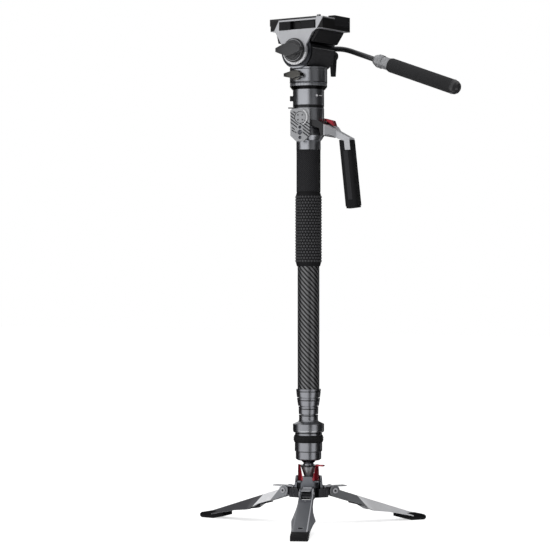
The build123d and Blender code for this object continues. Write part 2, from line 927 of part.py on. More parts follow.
with BuildPart() as base_cap:
    trim_top = rubber_top + trim_ring_height
    cap_bottom = trim_top + trim_groove_height
    turn(
        [
            (0, shell_top),
            (rubber_core_radius, shell_top),
            (rubber_core_radius, rubber_top),
            (trim_ring_radius, rubber_top),
            (trim_ring_radius, trim_top),
            (trim_groove_radius, trim_top),
            (trim_groove_radius, cap_bottom),
            (cap_foot_radius, cap_bottom),
            (cap_radius, cap_bottom + cap_foot_rise),
            (cap_radius, cap_shoulder),
            (cap_crown_radius, cap_crown_height),
            (ferrule_flare_radius, base_cap_top),
            (0, base_cap_top),
        ]
    )
base_cap.part.label = "base_cap"
export_step(base_cap.part, "parts/base_cap.step")

with BuildPart() as tube_4_ferrule:
    socket_radius = tube_radii[3] + sleeve_fit
    turn(
        [
            (0, base_cap_top),
            (ferrule_flare_radius, base_cap_top),
            (ferrule_radius, ferrule_floor),
            (ferrule_radius, ferrule_top),
            (socket_radius, ferrule_top),
            (socket_radius, ferrule_floor),
            (0, ferrule_floor),
        ]
    )
tube_4_ferrule.part.label = "tube_4_ferrule"
export_step(tube_4_ferrule.part, "parts/tube_4_ferrule.step")

# The four tubes, largest on top
for index in range(tube_count):
    with BuildPart() as tube:
        sleeve(tube_radii[index] - tube_wall, tube_radii[index], tube_bottoms[index], tube_tops[index])
    tube.part.label = f"tube_{index + 1}"
    export_step(tube.part, f"parts/tube_{index + 1}.step")

# Twist collars round the lower ends of the upper three tubes
for index in range(tube_count - 1):
    collar_bottom = collar_bottoms[index]
    collar_top = collar_bottom + collar_heights[index]
    collar_bore = tube_radii[index] + running_fit
    lip_bore = tube_radii[index + 1] + seat_gap
    with BuildPart() as collar:
        turn(
            [
                (lip_bore, collar_bottom),
                (collar_foot_radii[index], collar_bottom),
                (collar_top_radii[index], collar_top - collar_heights[index] / 4),
                (collar_top_radii[index], collar_top),
                (collar_bore, collar_top),
                (collar_bore, collar_bottom + collar_lip),
                (lip_bore, collar_bottom + collar_lip),
            ]
        )
        groove_low = collar_bottom + collar_heights[index] / 4 * 3 - collar_groove_width
        sleeve(
            collar_top_radii[index] - collar_groove,
            collar_top_radii[index] + overrun,
            groove_low,
            groove_low + collar_groove_width,
            Mode.SUBTRACT,
        )
    collar.part.label = f"collar_{index + 1}"
    export_step(collar.part, f"parts/collar_{index + 1}.step")

# Collets under the tubes' lower ends, and guide bushes round the inner tubes' upper ends
for index in range(tube_count):
    collet_top = tube_bottoms[index]
    guide_top = tube_tops[index]
    with BuildPart() as bushes:
        if index < tube_count - 1:
            sleeve(
                tube_radii[index + 1] + running_fit,
                tube_radii[index] - face_gap,
                collet_top - collet_length + face_gap,
                collet_top,
            )
        if index > 0:
            guide_radius = tube_radii[index - 1] - tube_wall - running_fit
            sleeve(tube_radii[index] + sleeve_fit / 2, guide_radius, guide_top - bush_length, guide_top)
    if index == 0:
        bush_name = "tube_1_collet"
    elif index == tube_count - 1:
        bush_name = "tube_4_bush"
    else:
        bush_name = f"tube_{index + 1}_bushes"
    bushes.part.label = bush_name
    export_step(bushes.part, f"parts/{bush_name}.step")

# Grips on the top tube
grip_bore = top_tube_radius + sleeve_fit
with BuildPart() as lower_grip:
    turn(
        [
            (grip_bore, lower_grip_bottom),
            (lower_grip_end_radius, lower_grip_bottom),
            (lower_grip_radius, lower_grip_bottom + lower_grip_taper),
            (lower_grip_radius, lower_grip_top - lower_grip_taper),
            (lower_grip_end_radius, lower_grip_top),
            (grip_bore, lower_grip_top),
        ]
    )
lower_grip.part.label = "lower_grip"
export_step(lower_grip.part, "parts/lower_grip.step")

with BuildPart() as upper_grip:
    sleeve(grip_bore, upper_grip_radius, lower_grip_top, upper_grip_top)
upper_grip.part.label = "upper_grip"
export_step(upper_grip.part, "parts/upper_grip.step")

# Clamp body with its two pivot bosses, and blind holes behind the accessory plate's
stud_holes = [
    (0, stud_hole_radius),
    (-small_hole_offset, small_hole_radius),
    (small_hole_offset, small_hole_radius),
]
with BuildPart() as clamp_body:
    turn(
        [
            (0, upper_grip_top),
            (clamp_collar_radius, upper_grip_top),
            (clamp_collar_radius, clamp_collar_top),
            (clamp_cone_radius, clamp_collar_top),
            (clamp_radius, clamp_cone_top),
            (clamp_radius, clamp_top),
            (0, clamp_top),
        ]
    )
    rod(boss_radius, upright(handle_angle, boss_reach, 0, pivot_height), 2 * boss_reach)
    post = box_outline(-plate_post_half_width, plate_post_half_width, plate_post_bottom, plate_post_top)
    plate_back = plate_face - plate_thickness
    slab(post, upright(handle_angle, 0), plate_back)
    for rise, hole_radius in stud_holes:
        hole_floor = upright(handle_angle, stud_hole_depth - plate_back, 0, stud_hole_height + rise)
        rod(hole_radius, hole_floor, stud_hole_depth + overrun, Mode.SUBTRACT)
    sleeve(0, grip_bore, upper_grip_top - overrun, tube_socket_top, Mode.SUBTRACT)
clamp_body.part.label = "clamp_body"
export_step(clamp_body.part, "parts/clamp_body.step")

front_plane = upright(handle_angle, -plate_back)
plate_outline = [
    (-plate_foot_half_width, plate_bottom),
    (plate_foot_half_width, plate_bottom),
    (plate_half_width, plate_shoulder),
    (plate_half_width, plate_top - plate_top_chamfer),
    (plate_half_width - plate_top_chamfer, plate_top),
    (-plate_half_width + plate_top_chamfer, plate_top),
    (-plate_half_width, plate_top - plate_top_chamfer),
    (-plate_half_width, plate_shoulder),
]
with BuildPart() as accessory_plate:
    slab(plate_outline, front_plane, plate_thickness)
    window = disc_radius + plate_window_clearance
    pivot_front = upright(handle_angle, 0, 0, pivot_height)
    rod(window, pivot_front, plate_face + overrun, Mode.SUBTRACT)
    for rise, hole_radius in stud_holes:
        hole_front = upright(handle_angle, 0, 0, stud_hole_height + rise)
        rod(hole_radius, hole_front, plate_face + overrun, Mode.SUBTRACT)
    side_plane = upright(handle_angle, 0, -side_hole_offset, stud_hole_height)
    rod(small_hole_radius / 2, side_plane, plate_face + overrun, Mode.SUBTRACT)
    plate_front = upright(handle_angle, -plate_face, 0, pivot_height)
    with BuildSketch(plate_front) as guard:
        Circle(guard_outer)
        Circle(guard_inner, mode=Mode.SUBTRACT)
        with Locations((small_hole_radius + rib_width - guard_outer, 0)):
            Rectangle(2 * guard_outer, 2 * guard_outer, mode=Mode.SUBTRACT)
    extrude(guard.sketch, amount=guard_thickness)
    for step in range(rib_count):
        rib_x = guard_inner / 2 + rib_width
        rib_z = plate_shoulder + rib_pitch * (step + 1) / 2
        rib_start = (rib_x, rib_z)
        rib_end = (plate_half_width - rib_width, rib_z - rib_pitch)
        slab(
            [
                rib_start,
                rib_end,
                (rib_end[0], rib_end[1] + rib_width),
                (rib_start[0], rib_start[1] + rib_width),
            ],
            upright(handle_angle, -plate_face),
            rib_thickness,
        )
accessory_plate.part.label = "accessory_plate"
export_step(accessory_plate.part, "parts/accessory_plate.step")

with BuildPart() as pivot_discs:
    for side in (-1, 1):
        outer = side * boss_reach
        start = outer if side < 0 else outer + disc_thickness
        rod(disc_radius, upright(handle_angle, start, 0, pivot_height), disc_thickness)
        screw_face = outer + side * (disc_thickness - disc_screw_depth)
        with BuildSketch(upright(handle_angle, screw_face, 0, pivot_height)) as screws:
            with PolarLocations(disc_screw_reach, 4, start_angle=45):
                Circle(disc_screw_radius)
        extrude(screws.sketch, amount=-side * (disc_screw_depth + overrun), mode=Mode.SUBTRACT)
pivot_discs.part.label = "pivot_discs"
export_step(pivot_discs.part, "parts/pivot_discs.step")

# Side handle: yoke round the clamp, grip with its end cap, and thumb trigger
# Yoke side outline, as shares of its reach and its drop below the pivot
yoke_cheek_shares = [
    (0.0, 0.3),
    (0.13, 0.14),
    (0.21, -0.1),
    (0.38, -0.15),
    (0.533, -0.42),
    (0.533, -0.8),
    (0.44, -0.82),
    (0.41, -0.5),
    (0.17, -0.3),
    (0.0, -0.3),
]
yoke_arm_shares = [
    (0.413, -0.19),
    (0.7, -0.58),
    (1.0, -0.92),
    (1.0, -1.1),
    (0.9, -1.06),
    (0.74, -0.95),
    (0.6, -0.76),
    (0.44, -0.78),
]
cheek_points = shares_of(yoke_cheek_shares, yoke_reach, yoke_drop, 0, pivot_height)
bridge_low = pivot_height - 2 * yoke_drop
bridge_points = box_outline(bridge_start, bridge_end, bridge_low, pivot_height + yoke_drop)
yoke_front = upright(handle_angle, yoke_outer)
with BuildPart() as yoke_bridge:
    slab(cheek_points, yoke_front, 2 * yoke_outer)
    slab(bridge_points, yoke_front, 2 * yoke_outer, Mode.INTERSECT)

with BuildPart() as yoke_arm:
    slab(shares_of(yoke_arm_shares, yoke_reach, yoke_drop, 0, pivot_height), yoke_front, 2 * yoke_outer)
    slab(
        [
            (bridge_start, -yoke_outer),
            (bridge_end, -yoke_outer),
            (arm_start, -arm_half_width),
            (yoke_reach + overrun, -arm_half_width),
            (yoke_reach + overrun, arm_half_width),
            (arm_start, arm_half_width),
            (bridge_end, yoke_outer),
            (bridge_start, yoke_outer),
        ],
        Plane(origin=(0, 0, bridge_low), x_dir=yoke_front.x_dir, z_dir=(0, 0, 1)),
        4 * yoke_drop,
        Mode.INTERSECT,
    )

with BuildPart() as handle_yoke:
    for side in (-1, 1):
        start = yoke_outer if side > 0 else -yoke_inner
        slab(cheek_points, upright(handle_angle, start), yoke_outer - yoke_inner)
        rod(yoke_ring_radius, upright(handle_angle, start, 0, pivot_height), yoke_outer - yoke_inner)
    add(yoke_bridge.part)
    add(yoke_arm.part)
    rod(
        boss_radius + running_fit,
        upright(handle_angle, yoke_outer + overrun, 0, pivot_height),
        2 * (yoke_outer + overrun),
        Mode.SUBTRACT,
    )
    cheek_low = pivot_height - yoke_drop / 3
    trigger_cheek = box_outline(
        trigger_hinge_reach - trigger_barrel_radius,
        trigger_hinge_reach + trigger_barrel_radius,
        cheek_low,
        trigger_hinge_height + trigger_barrel_radius,
    )
    for side in (-1, 1):
        start = side * (trigger_width / 2 + face_gap + trigger_cheek_width / 2) + trigger_cheek_width / 2
        slab(trigger_cheek, upright(handle_angle, start), trigger_cheek_width)
    trigger_hole = upright(handle_angle, trigger_width, trigger_hinge_reach, trigger_hinge_height)
    rod(trigger_trunnion_radius + running_fit, trigger_hole, 2 * trigger_width, Mode.SUBTRACT)
    strap_low = grip_top_height - strap_length
    strap_lean = strap_length * sin(radians(grip_lean))
    strap_start = yoke_reach - strap_width
    slab(
        [
            (strap_start + strap_lean, strap_low),
            (yoke_reach + strap_lean, strap_low),
            (yoke_reach, pivot_height - yoke_drop),
            (strap_start, pivot_height - yoke_drop),
        ],
        upright(handle_angle, -arm_half_width),
        strap_thickness,
    )
handle_yoke.part.label = "handle_yoke"
export_step(handle_yoke.part, "parts/handle_yoke.step")

down = (upright(handle_angle, 0).x_dir * sin(radians(grip_lean))) - Vector(0, 0, cos(radians(grip_lean)))
grip_top_point = upright(handle_angle, 0, grip_top_reach, grip_top_height).origin
across_handle = -upright(handle_angle, 0).z_dir
grip_plane = Plane(origin=grip_top_point - down * overrun / 2, x_dir=across_handle, z_dir=down)
with BuildPart() as handle_grip:
    with BuildSketch(grip_plane) as grip_section:
        RectangleRounded(grip_width, grip_depth, grip_corner)
    extrude(grip_section.sketch, amount=grip_length)
    with BuildSketch(grip_plane.offset(grip_length)) as cap_section:
        RectangleRounded(grip_width - grip_cap_length / 2, grip_depth - grip_cap_length / 2, grip_corner)
    extrude(cap_section.sketch, amount=grip_cap_length)
    add(handle_yoke.part, mode=Mode.SUBTRACT)
    above_arm = box_outline(0, yoke_reach + grip_depth, pivot_height - yoke_drop, pivot_height + yoke_drop)
    slab(above_arm, upright(handle_angle, grip_width), 2 * grip_width, Mode.SUBTRACT)
handle_grip.part.label = "handle_grip"
export_step(handle_grip.part, "parts/handle_grip.step")

with BuildPart() as handle_trigger:
    trigger_points = shares_of(
        trigger_shares, trigger_reach, trigger_reach, trigger_hinge_reach, trigger_hinge_height
    )
    slab(trigger_points, upright(handle_angle, trigger_width / 2), trigger_width)
    hinge_plane = upright(handle_angle, trigger_width / 2, trigger_hinge_reach, trigger_hinge_height)
    rod(trigger_barrel_radius, hinge_plane, trigger_width)
    trunnion_half = trigger_width / 2 + face_gap + trigger_cheek_width
    trunnion_plane = upright(handle_angle, trunnion_half, trigger_hinge_reach, trigger_hinge_height)
    rod(trigger_trunnion_radius, trunnion_plane, 2 * trunnion_half)
handle_trigger.part.label = "handle_trigger"
export_step(handle_trigger.part, "parts/handle_trigger.step")

# Neck: lock ring, neck with its release button, pan drag ring, head base and pan lock knob
with BuildPart() as head_lock_ring:
    ring_bottom = clamp_top + face_gap
    ring_top = neck_bottom - face_gap
    sleeve(spigot_radius + running_fit, lock_ring_radius, ring_bottom, ring_top)
    ring_tab = box_outline(
        spigot_radius + ring_tab_thickness,
        ring_tab_reach,
        ring_bottom,
        ring_bottom + ring_tab_thickness,
    )
    slab(ring_tab, upright(lever_angle, ring_tab_width / 2), ring_tab_width)
head_lock_ring.part.label = "head_lock_ring"
export_step(head_lock_ring.part, "parts/head_lock_ring.step")

button_start = button_reach - button_depth
with BuildPart() as head_neck:
    sleeve(0, spigot_radius, clamp_top, neck_bottom)
    sleeve(0, neck_radius, neck_bottom, neck_top)
    sleeve(0, neck_spigot_radius, neck_top, head_base_bottom)
    pocket = box_outline(
        button_start - button_depth / 4,
        neck_radius + overrun,
        button_bottom - face_gap,
        button_top + face_gap,
    )
    pocket_plane = upright(lever_angle, button_width / 2 + face_gap)
    slab(pocket, pocket_plane, button_width + 2 * face_gap, Mode.SUBTRACT)
head_neck.part.label = "head_neck"
export_step(head_neck.part, "parts/head_neck.step")

with BuildPart() as neck_release_button:
    button = box_outline(button_start, button_reach, button_bottom, button_top)
    slab(button, upright(lever_angle, button_width / 2), button_width)
neck_release_button.part.label = "neck_release_button"
export_step(neck_release_button.part, "parts/neck_release_button.step")


def knurl(radius, depth, width, count, bottom, top):
    """Shallow upright grooves all round a turned piece."""
    with BuildSketch(Plane.XY.offset(bottom)) as grooves:
        with PolarLocations(radius, count):
            Rectangle(2 * depth, width)
    extrude(grooves.sketch, amount=top - bottom, mode=Mode.SUBTRACT)


with BuildPart() as pan_drag_ring:
    drag_low = neck_top + face_gap
    drag_high = head_base_bottom - face_gap
    turn(
        [
            (neck_spigot_radius + running_fit, drag_low),
            (drag_ring_foot_radius, drag_low),
            (drag_ring_radius, drag_low + drag_ring_taper),
            (drag_ring_radius, drag_high),
            (neck_spigot_radius + running_fit, drag_high),
        ]
    )
    knurl(
        drag_ring_radius,
        drag_ring_knurl_depth,
        drag_ring_knurl_width,
        drag_ring_knurls,
        drag_low - overrun,
        drag_high + overrun,
    )
pan_drag_ring.part.label = "pan_drag_ring"
export_step(pan_drag_ring.part, "parts/pan_drag_ring.step")

pan_seat = head_base_radius + seat_gap
with BuildPart() as head_base:
    turn(
        [
            (0, head_base_bottom),
            (head_base_radius - head_base_round, head_base_bottom),
            (head_base_radius, head_base_bottom + head_base_round),
            (head_base_radius, head_base_top - head_base_round / 2),
            (head_base_radius - head_base_round / 2, head_base_top),
            (0, head_base_top),
        ]
    )
    rod(
        pan_boss_radius + running_fit,
        upright(0, -pan_boss_start, pan_knob_offset, pan_knob_height),
        pan_seat - pan_boss_start,
    )
    bore_floor = head_base_top - pan_spindle_depth - face_gap
    sleeve(0, pan_spindle_radius + running_fit, bore_floor, head_base_top + overrun, Mode.SUBTRACT)
    shaft_start = pan_seat - pan_shaft_depth - face_gap
    rod(
        pan_shaft_radius + running_fit,
        upright(0, -shaft_start, pan_knob_offset, pan_knob_height),
        pan_shaft_depth + overrun,
        Mode.SUBTRACT,
    )
head_base.part.label = "head_base"
export_step(head_base.part, "parts/head_base.step")

with BuildPart() as pan_lock_knob:
    boss_start = pan_seat + face_gap
    rod(
        pan_boss_radius,
        upright(0, -boss_start, pan_knob_offset, pan_knob_height),
        pan_boss_end - boss_start,
    )
    slab(
        [
            (-pan_wing_half_length, -pan_wing_tip_height / 2),
            (0, -pan_wing_height / 2),
            (pan_wing_half_length, -pan_wing_tip_height / 2),
            (pan_wing_half_length, pan_wing_tip_height / 2),
            (0, pan_wing_height / 2),
            (-pan_wing_half_length, pan_wing_tip_height / 2),
        ],
        upright(0, -pan_boss_end, pan_knob_offset, pan_knob_height),
        pan_wing_end - pan_boss_end,
    )
    rod(
        pan_shaft_radius,
        upright(0, -pan_boss_end, pan_knob_offset, pan_knob_height),
        shaft_start + face_gap - pan_boss_end,
    )
pan_lock_knob.part.label = "pan_lock_knob"
export_step(pan_lock_knob.part, "parts/pan_lock_knob.step")

# Turret: flange, pan spindle, drum and tilt axle
turret_floor = head_base_top + face_gap
with BuildPart() as turret_drum:
    rod(drum_radius, upright(0, drum_half_length, 0, tilt_height), 2 * drum_half_length)
    sleeve(0, flange_radius, turret_floor, flange_top)
    sleeve(0, flange_radius * 2, tilt_height - 2 * drum_radius, turret_floor, Mode.SUBTRACT)
    sleeve(0, pan_spindle_radius, head_base_top - pan_spindle_depth, flange_top)
    axle_front = dial_end + face_gap
    axle_rear = cheek_outer - face_gap
    rod(axle_radius, upright(0, axle_rear, 0, tilt_height), axle_rear + axle_front)
    rod(
        pan_shaft_radius + running_fit,
        upright(0, -drum_half_length, 0, tilt_height),
        drum_half_length,
        Mode.SUBTRACT,
    )
    for side in (-1, 1):
        rim = side * drum_half_length
        start = rim if side < 0 else rim + drum_rim / 2
        with BuildSketch(upright(0, start, 0, tilt_height)) as rim_ring:
            Circle(drum_radius - drum_rim)
            Circle(drum_radius - 4 * drum_rim, mode=Mode.SUBTRACT)
        extrude(rim_ring.sketch, amount=drum_rim / 2)
turret_drum.part.label = "turret_drum"
export_step(turret_drum.part, "parts/turret_drum.step")

with BuildPart() as drum_cover:
    cover_outer = drum_radius + cover_thickness
    with BuildSketch(upright(0, cover_half_length, 0, tilt_height)) as cover_section:
        Circle(cover_outer)
        Circle(drum_radius + sleeve_fit, mode=Mode.SUBTRACT)
        with Locations((cover_outer, (cover_top - cover_bottom) / 2)):
            Rectangle(2 * cover_outer, cover_top + cover_bottom, mode=Mode.INTERSECT)
    extrude(cover_section.sketch, amount=2 * cover_half_length)
drum_cover.part.label = "drum_cover"
export_step(drum_cover.part, "parts/drum_cover.step")

with BuildPart() as tilt_drag_dial:
    with BuildSketch(upright(0, -dial_start, 0, tilt_height)) as dial_section:
        Circle(dial_radius)
        Circle(axle_radius + running_fit, mode=Mode.SUBTRACT)
    extrude(dial_section.sketch, amount=dial_end - dial_start)
tilt_drag_dial.part.label = "tilt_drag_dial"
export_step(tilt_drag_dial.part, "parts/tilt_drag_dial.step")

with BuildPart() as tilt_lock_knob:
    disc_start = axle_front + face_gap
    for disc, step in zip(knob_disc_radii, knob_disc_steps):
        rod(disc, upright(0, -disc_start, 0, tilt_height), step)
        disc_start += step
    slab(
        [
            (-wing_half_length, -wing_tip_half_height),
            (-wing_half_length / 3, -wing_mid_half_height),
            (wing_half_length / 3, -wing_mid_half_height),
            (wing_half_length, -wing_tip_half_height),
            (wing_half_length, wing_tip_half_height),
            (wing_half_length / 3, wing_mid_half_height),
            (-wing_half_length / 3, wing_mid_half_height),
            (-wing_half_length, wing_tip_half_height),
        ],
        upright(0, -disc_start, 0, tilt_height),
        wing_end - disc_start,
    )
    knob_shaft_end = axle_front + face_gap - drum_half_length
    rod(pan_shaft_radius, upright(0, -drum_half_length, 0, tilt_height), knob_shaft_end)
tilt_lock_knob.part.label = "tilt_lock_knob"
export_step(tilt_lock_knob.part, "parts/tilt_lock_knob.step")

# Tilt cradle: two cheeks, deck, rails and the rosette boss for the pan bar
back_end = cheek_back_shares[-1][0] * cradle_length
front_end = cheek_front_shares[0][0] * cradle_length
block_length = end_block_width_share * cradle_length
with BuildPart() as tilt_cradle:
    cheek_shares = cheek_back_shares + cheek_front_shares
    cheek_points = shares_of(cheek_shares, cradle_length, cradle_rise, 0, tilt_height)
    for side in (-1, 1):
        start = cheek_outer if side > 0 else -cheek_inner
        slab(cheek_points, upright(0, start), cheek_outer - cheek_inner)
        rod(cheek_disk_radius, upright(0, start, 0, tilt_height), cheek_outer - cheek_inner)
    deck = box_outline(back_end, front_end, tilt_height + deck_bottom, tilt_height + deck_top)
    slab(deck, upright(0, cheek_outer), 2 * cheek_outer)
    front_rail = box_outline(back_end, front_end, tilt_height + deck_bottom, tilt_height + cradle_rise)
    slab(front_rail, upright(0, -rail_inner), cheek_outer - rail_inner)
    rear_rail = box_outline(
        back_end,
        front_end - block_length - seat_gap,
        tilt_height + deck_bottom,
        tilt_height + cradle_rise,
    )
    slab(rear_rail, upright(0, cheek_outer), cheek_outer - rail_inner)
    above_block = box_outline(
        front_end - block_length,
        front_end + overrun,
        tilt_height + deck_top,
        tilt_height + cradle_rise + overrun,
    )
    above_width = cheek_outer + overrun + end_block_split
    slab(above_block, upright(0, cheek_outer + overrun), above_width, Mode.SUBTRACT)
    end_light = box_outline(
        front_end - block_length,
        front_end,
        tilt_height + deck_top,
        tilt_height + end_light_rise,
    )
    slab(end_light, upright(0, -end_block_split), cheek_outer - end_block_split)
    recess = box_outline(
        rail_recess_start_share * cradle_length,
        rail_recess_end_share * cradle_length,
        tilt_height + rail_recess_bottom,
        tilt_height + rail_recess_top,
    )
    slab(recess, upright(0, -cheek_outer + rail_recess_depth), rail_recess_depth + overrun, Mode.SUBTRACT)
    lever_hole_low = tilt_height + rail_recess_bottom - lever_pin_overhang
    lever_plane = Plane(
        origin=(plate_lever_pivot_x, plate_lever_pivot_y, lever_hole_low),
        z_dir=(0, 0, 1),
    )
    lever_pin_length = rail_recess_top - rail_recess_bottom + 2 * lever_pin_overhang
    rod(plate_lever_pin_radius + running_fit, lever_plane, lever_pin_length, Mode.SUBTRACT)
    with BuildSketch(upright(0, -cheek_outer, 0, tilt_height)) as bezel:
        Circle(bezel_radius)
        Circle(bezel_inner, mode=Mode.SUBTRACT)
    extrude(bezel.sketch, amount=bezel_thickness)
    rod(
        rosette_radius,
        upright(0, rosette_boss_end, 0, tilt_height),
        rosette_boss_end - cheek_outer,
    )
    stud_end = lever_hub_start + (lever_hub_end - lever_hub_start) / 2
    rod(rosette_stud_radius, upright(0, stud_end, 0, tilt_height), stud_end - cheek_outer)
    rod(
        axle_radius + running_fit,
        upright(0, axle_rear + face_gap, 0, tilt_height),
        axle_rear + cheek_outer + overrun,
        Mode.SUBTRACT,
    )
tilt_cradle.part.label = "tilt_cradle"
export_step(tilt_cradle.part, "parts/tilt_cradle.step")

with BuildPart() as platform_black_trim:
    flank_half = cheek_inner - face_gap
    flank_top = tilt_height + deck_bottom - face_gap
    flank_front = (cheek_front_shares[1][0] * cradle_length, cheek_front_shares[3][0] * cradle_length)
    flank_back = (cheek_back_shares[3][0] * cradle_length, cheek_back_shares[2][0] * cradle_length)
    for top_x, low_x in (flank_front, flank_back):
        side = 1 if top_x > 0 else -1
        low_x += side * flank_thickness
        slab(
            [
                (top_x - side * flank_thickness / 2, flank_top),
                (low_x, tilt_height + flank_low + flank_thickness),
                (low_x, tilt_height + flank_low),
                (low_x + side * flank_thickness, tilt_height + flank_low),
                (top_x, flank_top - flank_thickness),
                (top_x + side * flank_thickness / 2, flank_top),
            ],
            upright(0, flank_half),
            2 * flank_half,
        )
    end_block = box_outline(
        front_end - block_length,
        front_end,
        tilt_height + deck_top + face_gap,
        tilt_height + end_block_rise,
    )
    block_start = cheek_outer
    slab(end_block, upright(0, block_start), cheek_outer + end_block_split - face_gap)
platform_black_trim.part.label = "platform_black_trim"
export_step(platform_black_trim.part, "parts/platform_black_trim.step")

# Pan bar: rosette block with the bent rod, lock nut, grip and rosette lever
bar_plane = upright(0, bar_plane_y, 0, tilt_height)
bend_turn = radians(bar_slope)
bend_end_x = bar_bend_start + bar_bend_radius * sin(bend_turn)
bend_end_z = bar_rise - bar_bend_radius * (1 - cos(bend_turn))
bar_direction = Vector(cos(bend_turn), 0, -sin(bend_turn))


def on_bar(reach):
    """A plane across the pan bar where the bar reaches that X: its y runs along the bar."""
    height = tilt_height + bend_end_z - (reach - bend_end_x) * sin(bend_turn) / cos(bend_turn)
    side = Vector(0, 1, 0)
    return Plane(origin=(reach, bar_plane_y, height), x_dir=side, z_dir=side.cross(bar_direction))


with BuildPart() as pan_bar_rod:
    block_start = bar_plane_y + bar_block_half_length
    rod(rosette_radius, upright(0, block_start, 0, tilt_height), 2 * bar_block_half_length)
    with BuildLine(bar_plane) as bar_path:
        Line((0, bar_rise), (bar_bend_start, bar_rise))
        JernArc((bar_bend_start, bar_rise), (1, 0), bar_bend_radius, -bar_slope)
        end_drop = (bar_end_reach - bend_end_x) * sin(bend_turn) / cos(bend_turn)
        Line((bend_end_x, bend_end_z), (bar_end_reach, bend_end_z - end_drop))
    with BuildSketch(Plane(origin=(0, bar_plane_y, tilt_height + bar_rise), z_dir=(1, 0, 0))) as bar_section:
        Circle(bar_radius)
    sweep(bar_section.sketch, path=bar_path.wire())
    rod(
        rosette_stud_radius + running_fit,
        upright(0, block_start + overrun, 0, tilt_height),
        2 * (bar_block_half_length + overrun),
        Mode.SUBTRACT,
    )
pan_bar_rod.part.label = "pan_bar_rod"
export_step(pan_bar_rod.part, "parts/pan_bar_rod.step")

nut_bore = bar_radius + running_fit
with BuildPart() as pan_bar_lock_nut:
    nut_plane = on_bar(nut_start)
    first_end = nut_lengths[0]
    second_end = first_end + nut_lengths[1]
    nut_end = second_end + nut_lengths[2]
    turn_along(
        [
            (nut_bore, 0),
            (nut_radii[0] * nut_foot_share, 0),
            (nut_radii[0], first_end / 2),
            (nut_radii[0], first_end),
            (nut_radii[1], first_end),
            (nut_radii[1], second_end),
            (nut_radii[2], second_end),
            (nut_radii[2], nut_end),
            (nut_bore, nut_end),
        ],
        nut_plane,
    )
pan_bar_lock_nut.part.label = "pan_bar_lock_nut"
export_step(pan_bar_lock_nut.part, "parts/pan_bar_lock_nut.step")

with BuildPart() as pan_bar_grip:
    grip_start = nut_end + seat_gap
    grip_end = grip_start + bar_grip_length
    bore_end = grip_end - bar_cap_length
    turn_along(
        [
            (nut_bore, grip_start),
            (bar_grip_radius * bar_grip_foot_share, grip_start),
            (bar_grip_radius, grip_start + bar_cap_length / 4),
            (bar_grip_radius, grip_end),
            (0, grip_end),
            (0, bore_end),
            (nut_bore, bore_end),
        ],
        nut_plane,
    )
    cap_points = shares_of(bar_cap_shares, bar_grip_radius, bar_cap_length, 0, grip_end)
    turn_along([(0, grip_end)] + cap_points + [(0, grip_end + bar_cap_length)], nut_plane)
pan_bar_grip.part.label = "pan_bar_grip"
export_step(pan_bar_grip.part, "parts/pan_bar_grip.step")

with BuildPart() as rosette_lever:
    rod(lever_hub_radius, upright(0, lever_hub_end, 0, tilt_height), lever_hub_end - lever_hub_start)
    slab(
        [
            (-lever_root_width / 2, 0),
            (-lever_tip_width / 2, -lever_blade_length),
            (lever_tip_width / 2, -lever_blade_length),
            (lever_root_width / 2, 0),
        ],
        upright(0, lever_hub_end, 0, tilt_height),
        lever_hub_end - lever_blade_start,
    )
    rod(
        rosette_stud_radius + running_fit,
        upright(0, stud_end + face_gap, 0, tilt_height),
        stud_end + face_gap - lever_hub_start + overrun,
        Mode.SUBTRACT,
    )
rosette_lever.part.label = "rosette_lever"
export_step(rosette_lever.part, "parts/rosette_lever.step")

# Camera plate with its screw, and the lever and button that hold it
with BuildPart() as camera_plate:
    foot_low = tilt_height + camera_plate_bottom
    step_height = tilt_height + camera_plate_step
    slab(
        box_outline(camera_plate_back, camera_plate_front, foot_low, step_height),
        upright(0, camera_plate_foot_half_width),
        2 * camera_plate_foot_half_width,
    )
    slab(
        box_outline(camera_plate_back, camera_plate_front, step_height, tilt_height + camera_plate_top),
        upright(0, camera_plate_half_width),
        2 * camera_plate_half_width,
    )
    slot_middle = (camera_slot_start + camera_slot_end) / 2
    slot_length = camera_slot_end - camera_slot_start
    with BuildSketch(Plane.XY.offset(foot_low - overrun)) as slot:
        with Locations((slot_middle, 0)):
            SlotOverall(slot_length, 2 * (screw_radius + seat_gap))
    extrude(slot.sketch, amount=camera_plate_top, mode=Mode.SUBTRACT)
    pocket_top = foot_low + screw_head_height + 2 * face_gap
    with BuildSketch(Plane.XY.offset(foot_low - overrun)) as head_pocket:
        with Locations((slot_middle, 0)):
            SlotOverall(slot_length + 2 * screw_head_radius, 2 * (screw_head_radius + seat_gap))
    extrude(head_pocket.sketch, amount=pocket_top - foot_low + overrun, mode=Mode.SUBTRACT)
camera_plate.part.label = "camera_plate"
export_step(camera_plate.part, "parts/camera_plate.step")

with BuildPart() as camera_screw:
    head_low = foot_low + face_gap
    head_plane = Plane(origin=(screw_place, 0, head_low), z_dir=(0, 0, 1))
    rod(screw_head_radius, head_plane, screw_head_height)
    rod(screw_neck_radius, head_plane, tilt_height + camera_plate_top - head_low)
    thread_plane = Plane(origin=(screw_place, 0, tilt_height + camera_plate_top), z_dir=(0, 0, 1))
    rod(screw_radius, thread_plane, screw_rise)
camera_screw.part.label = "camera_screw"
export_step(camera_screw.part, "parts/camera_screw.step")

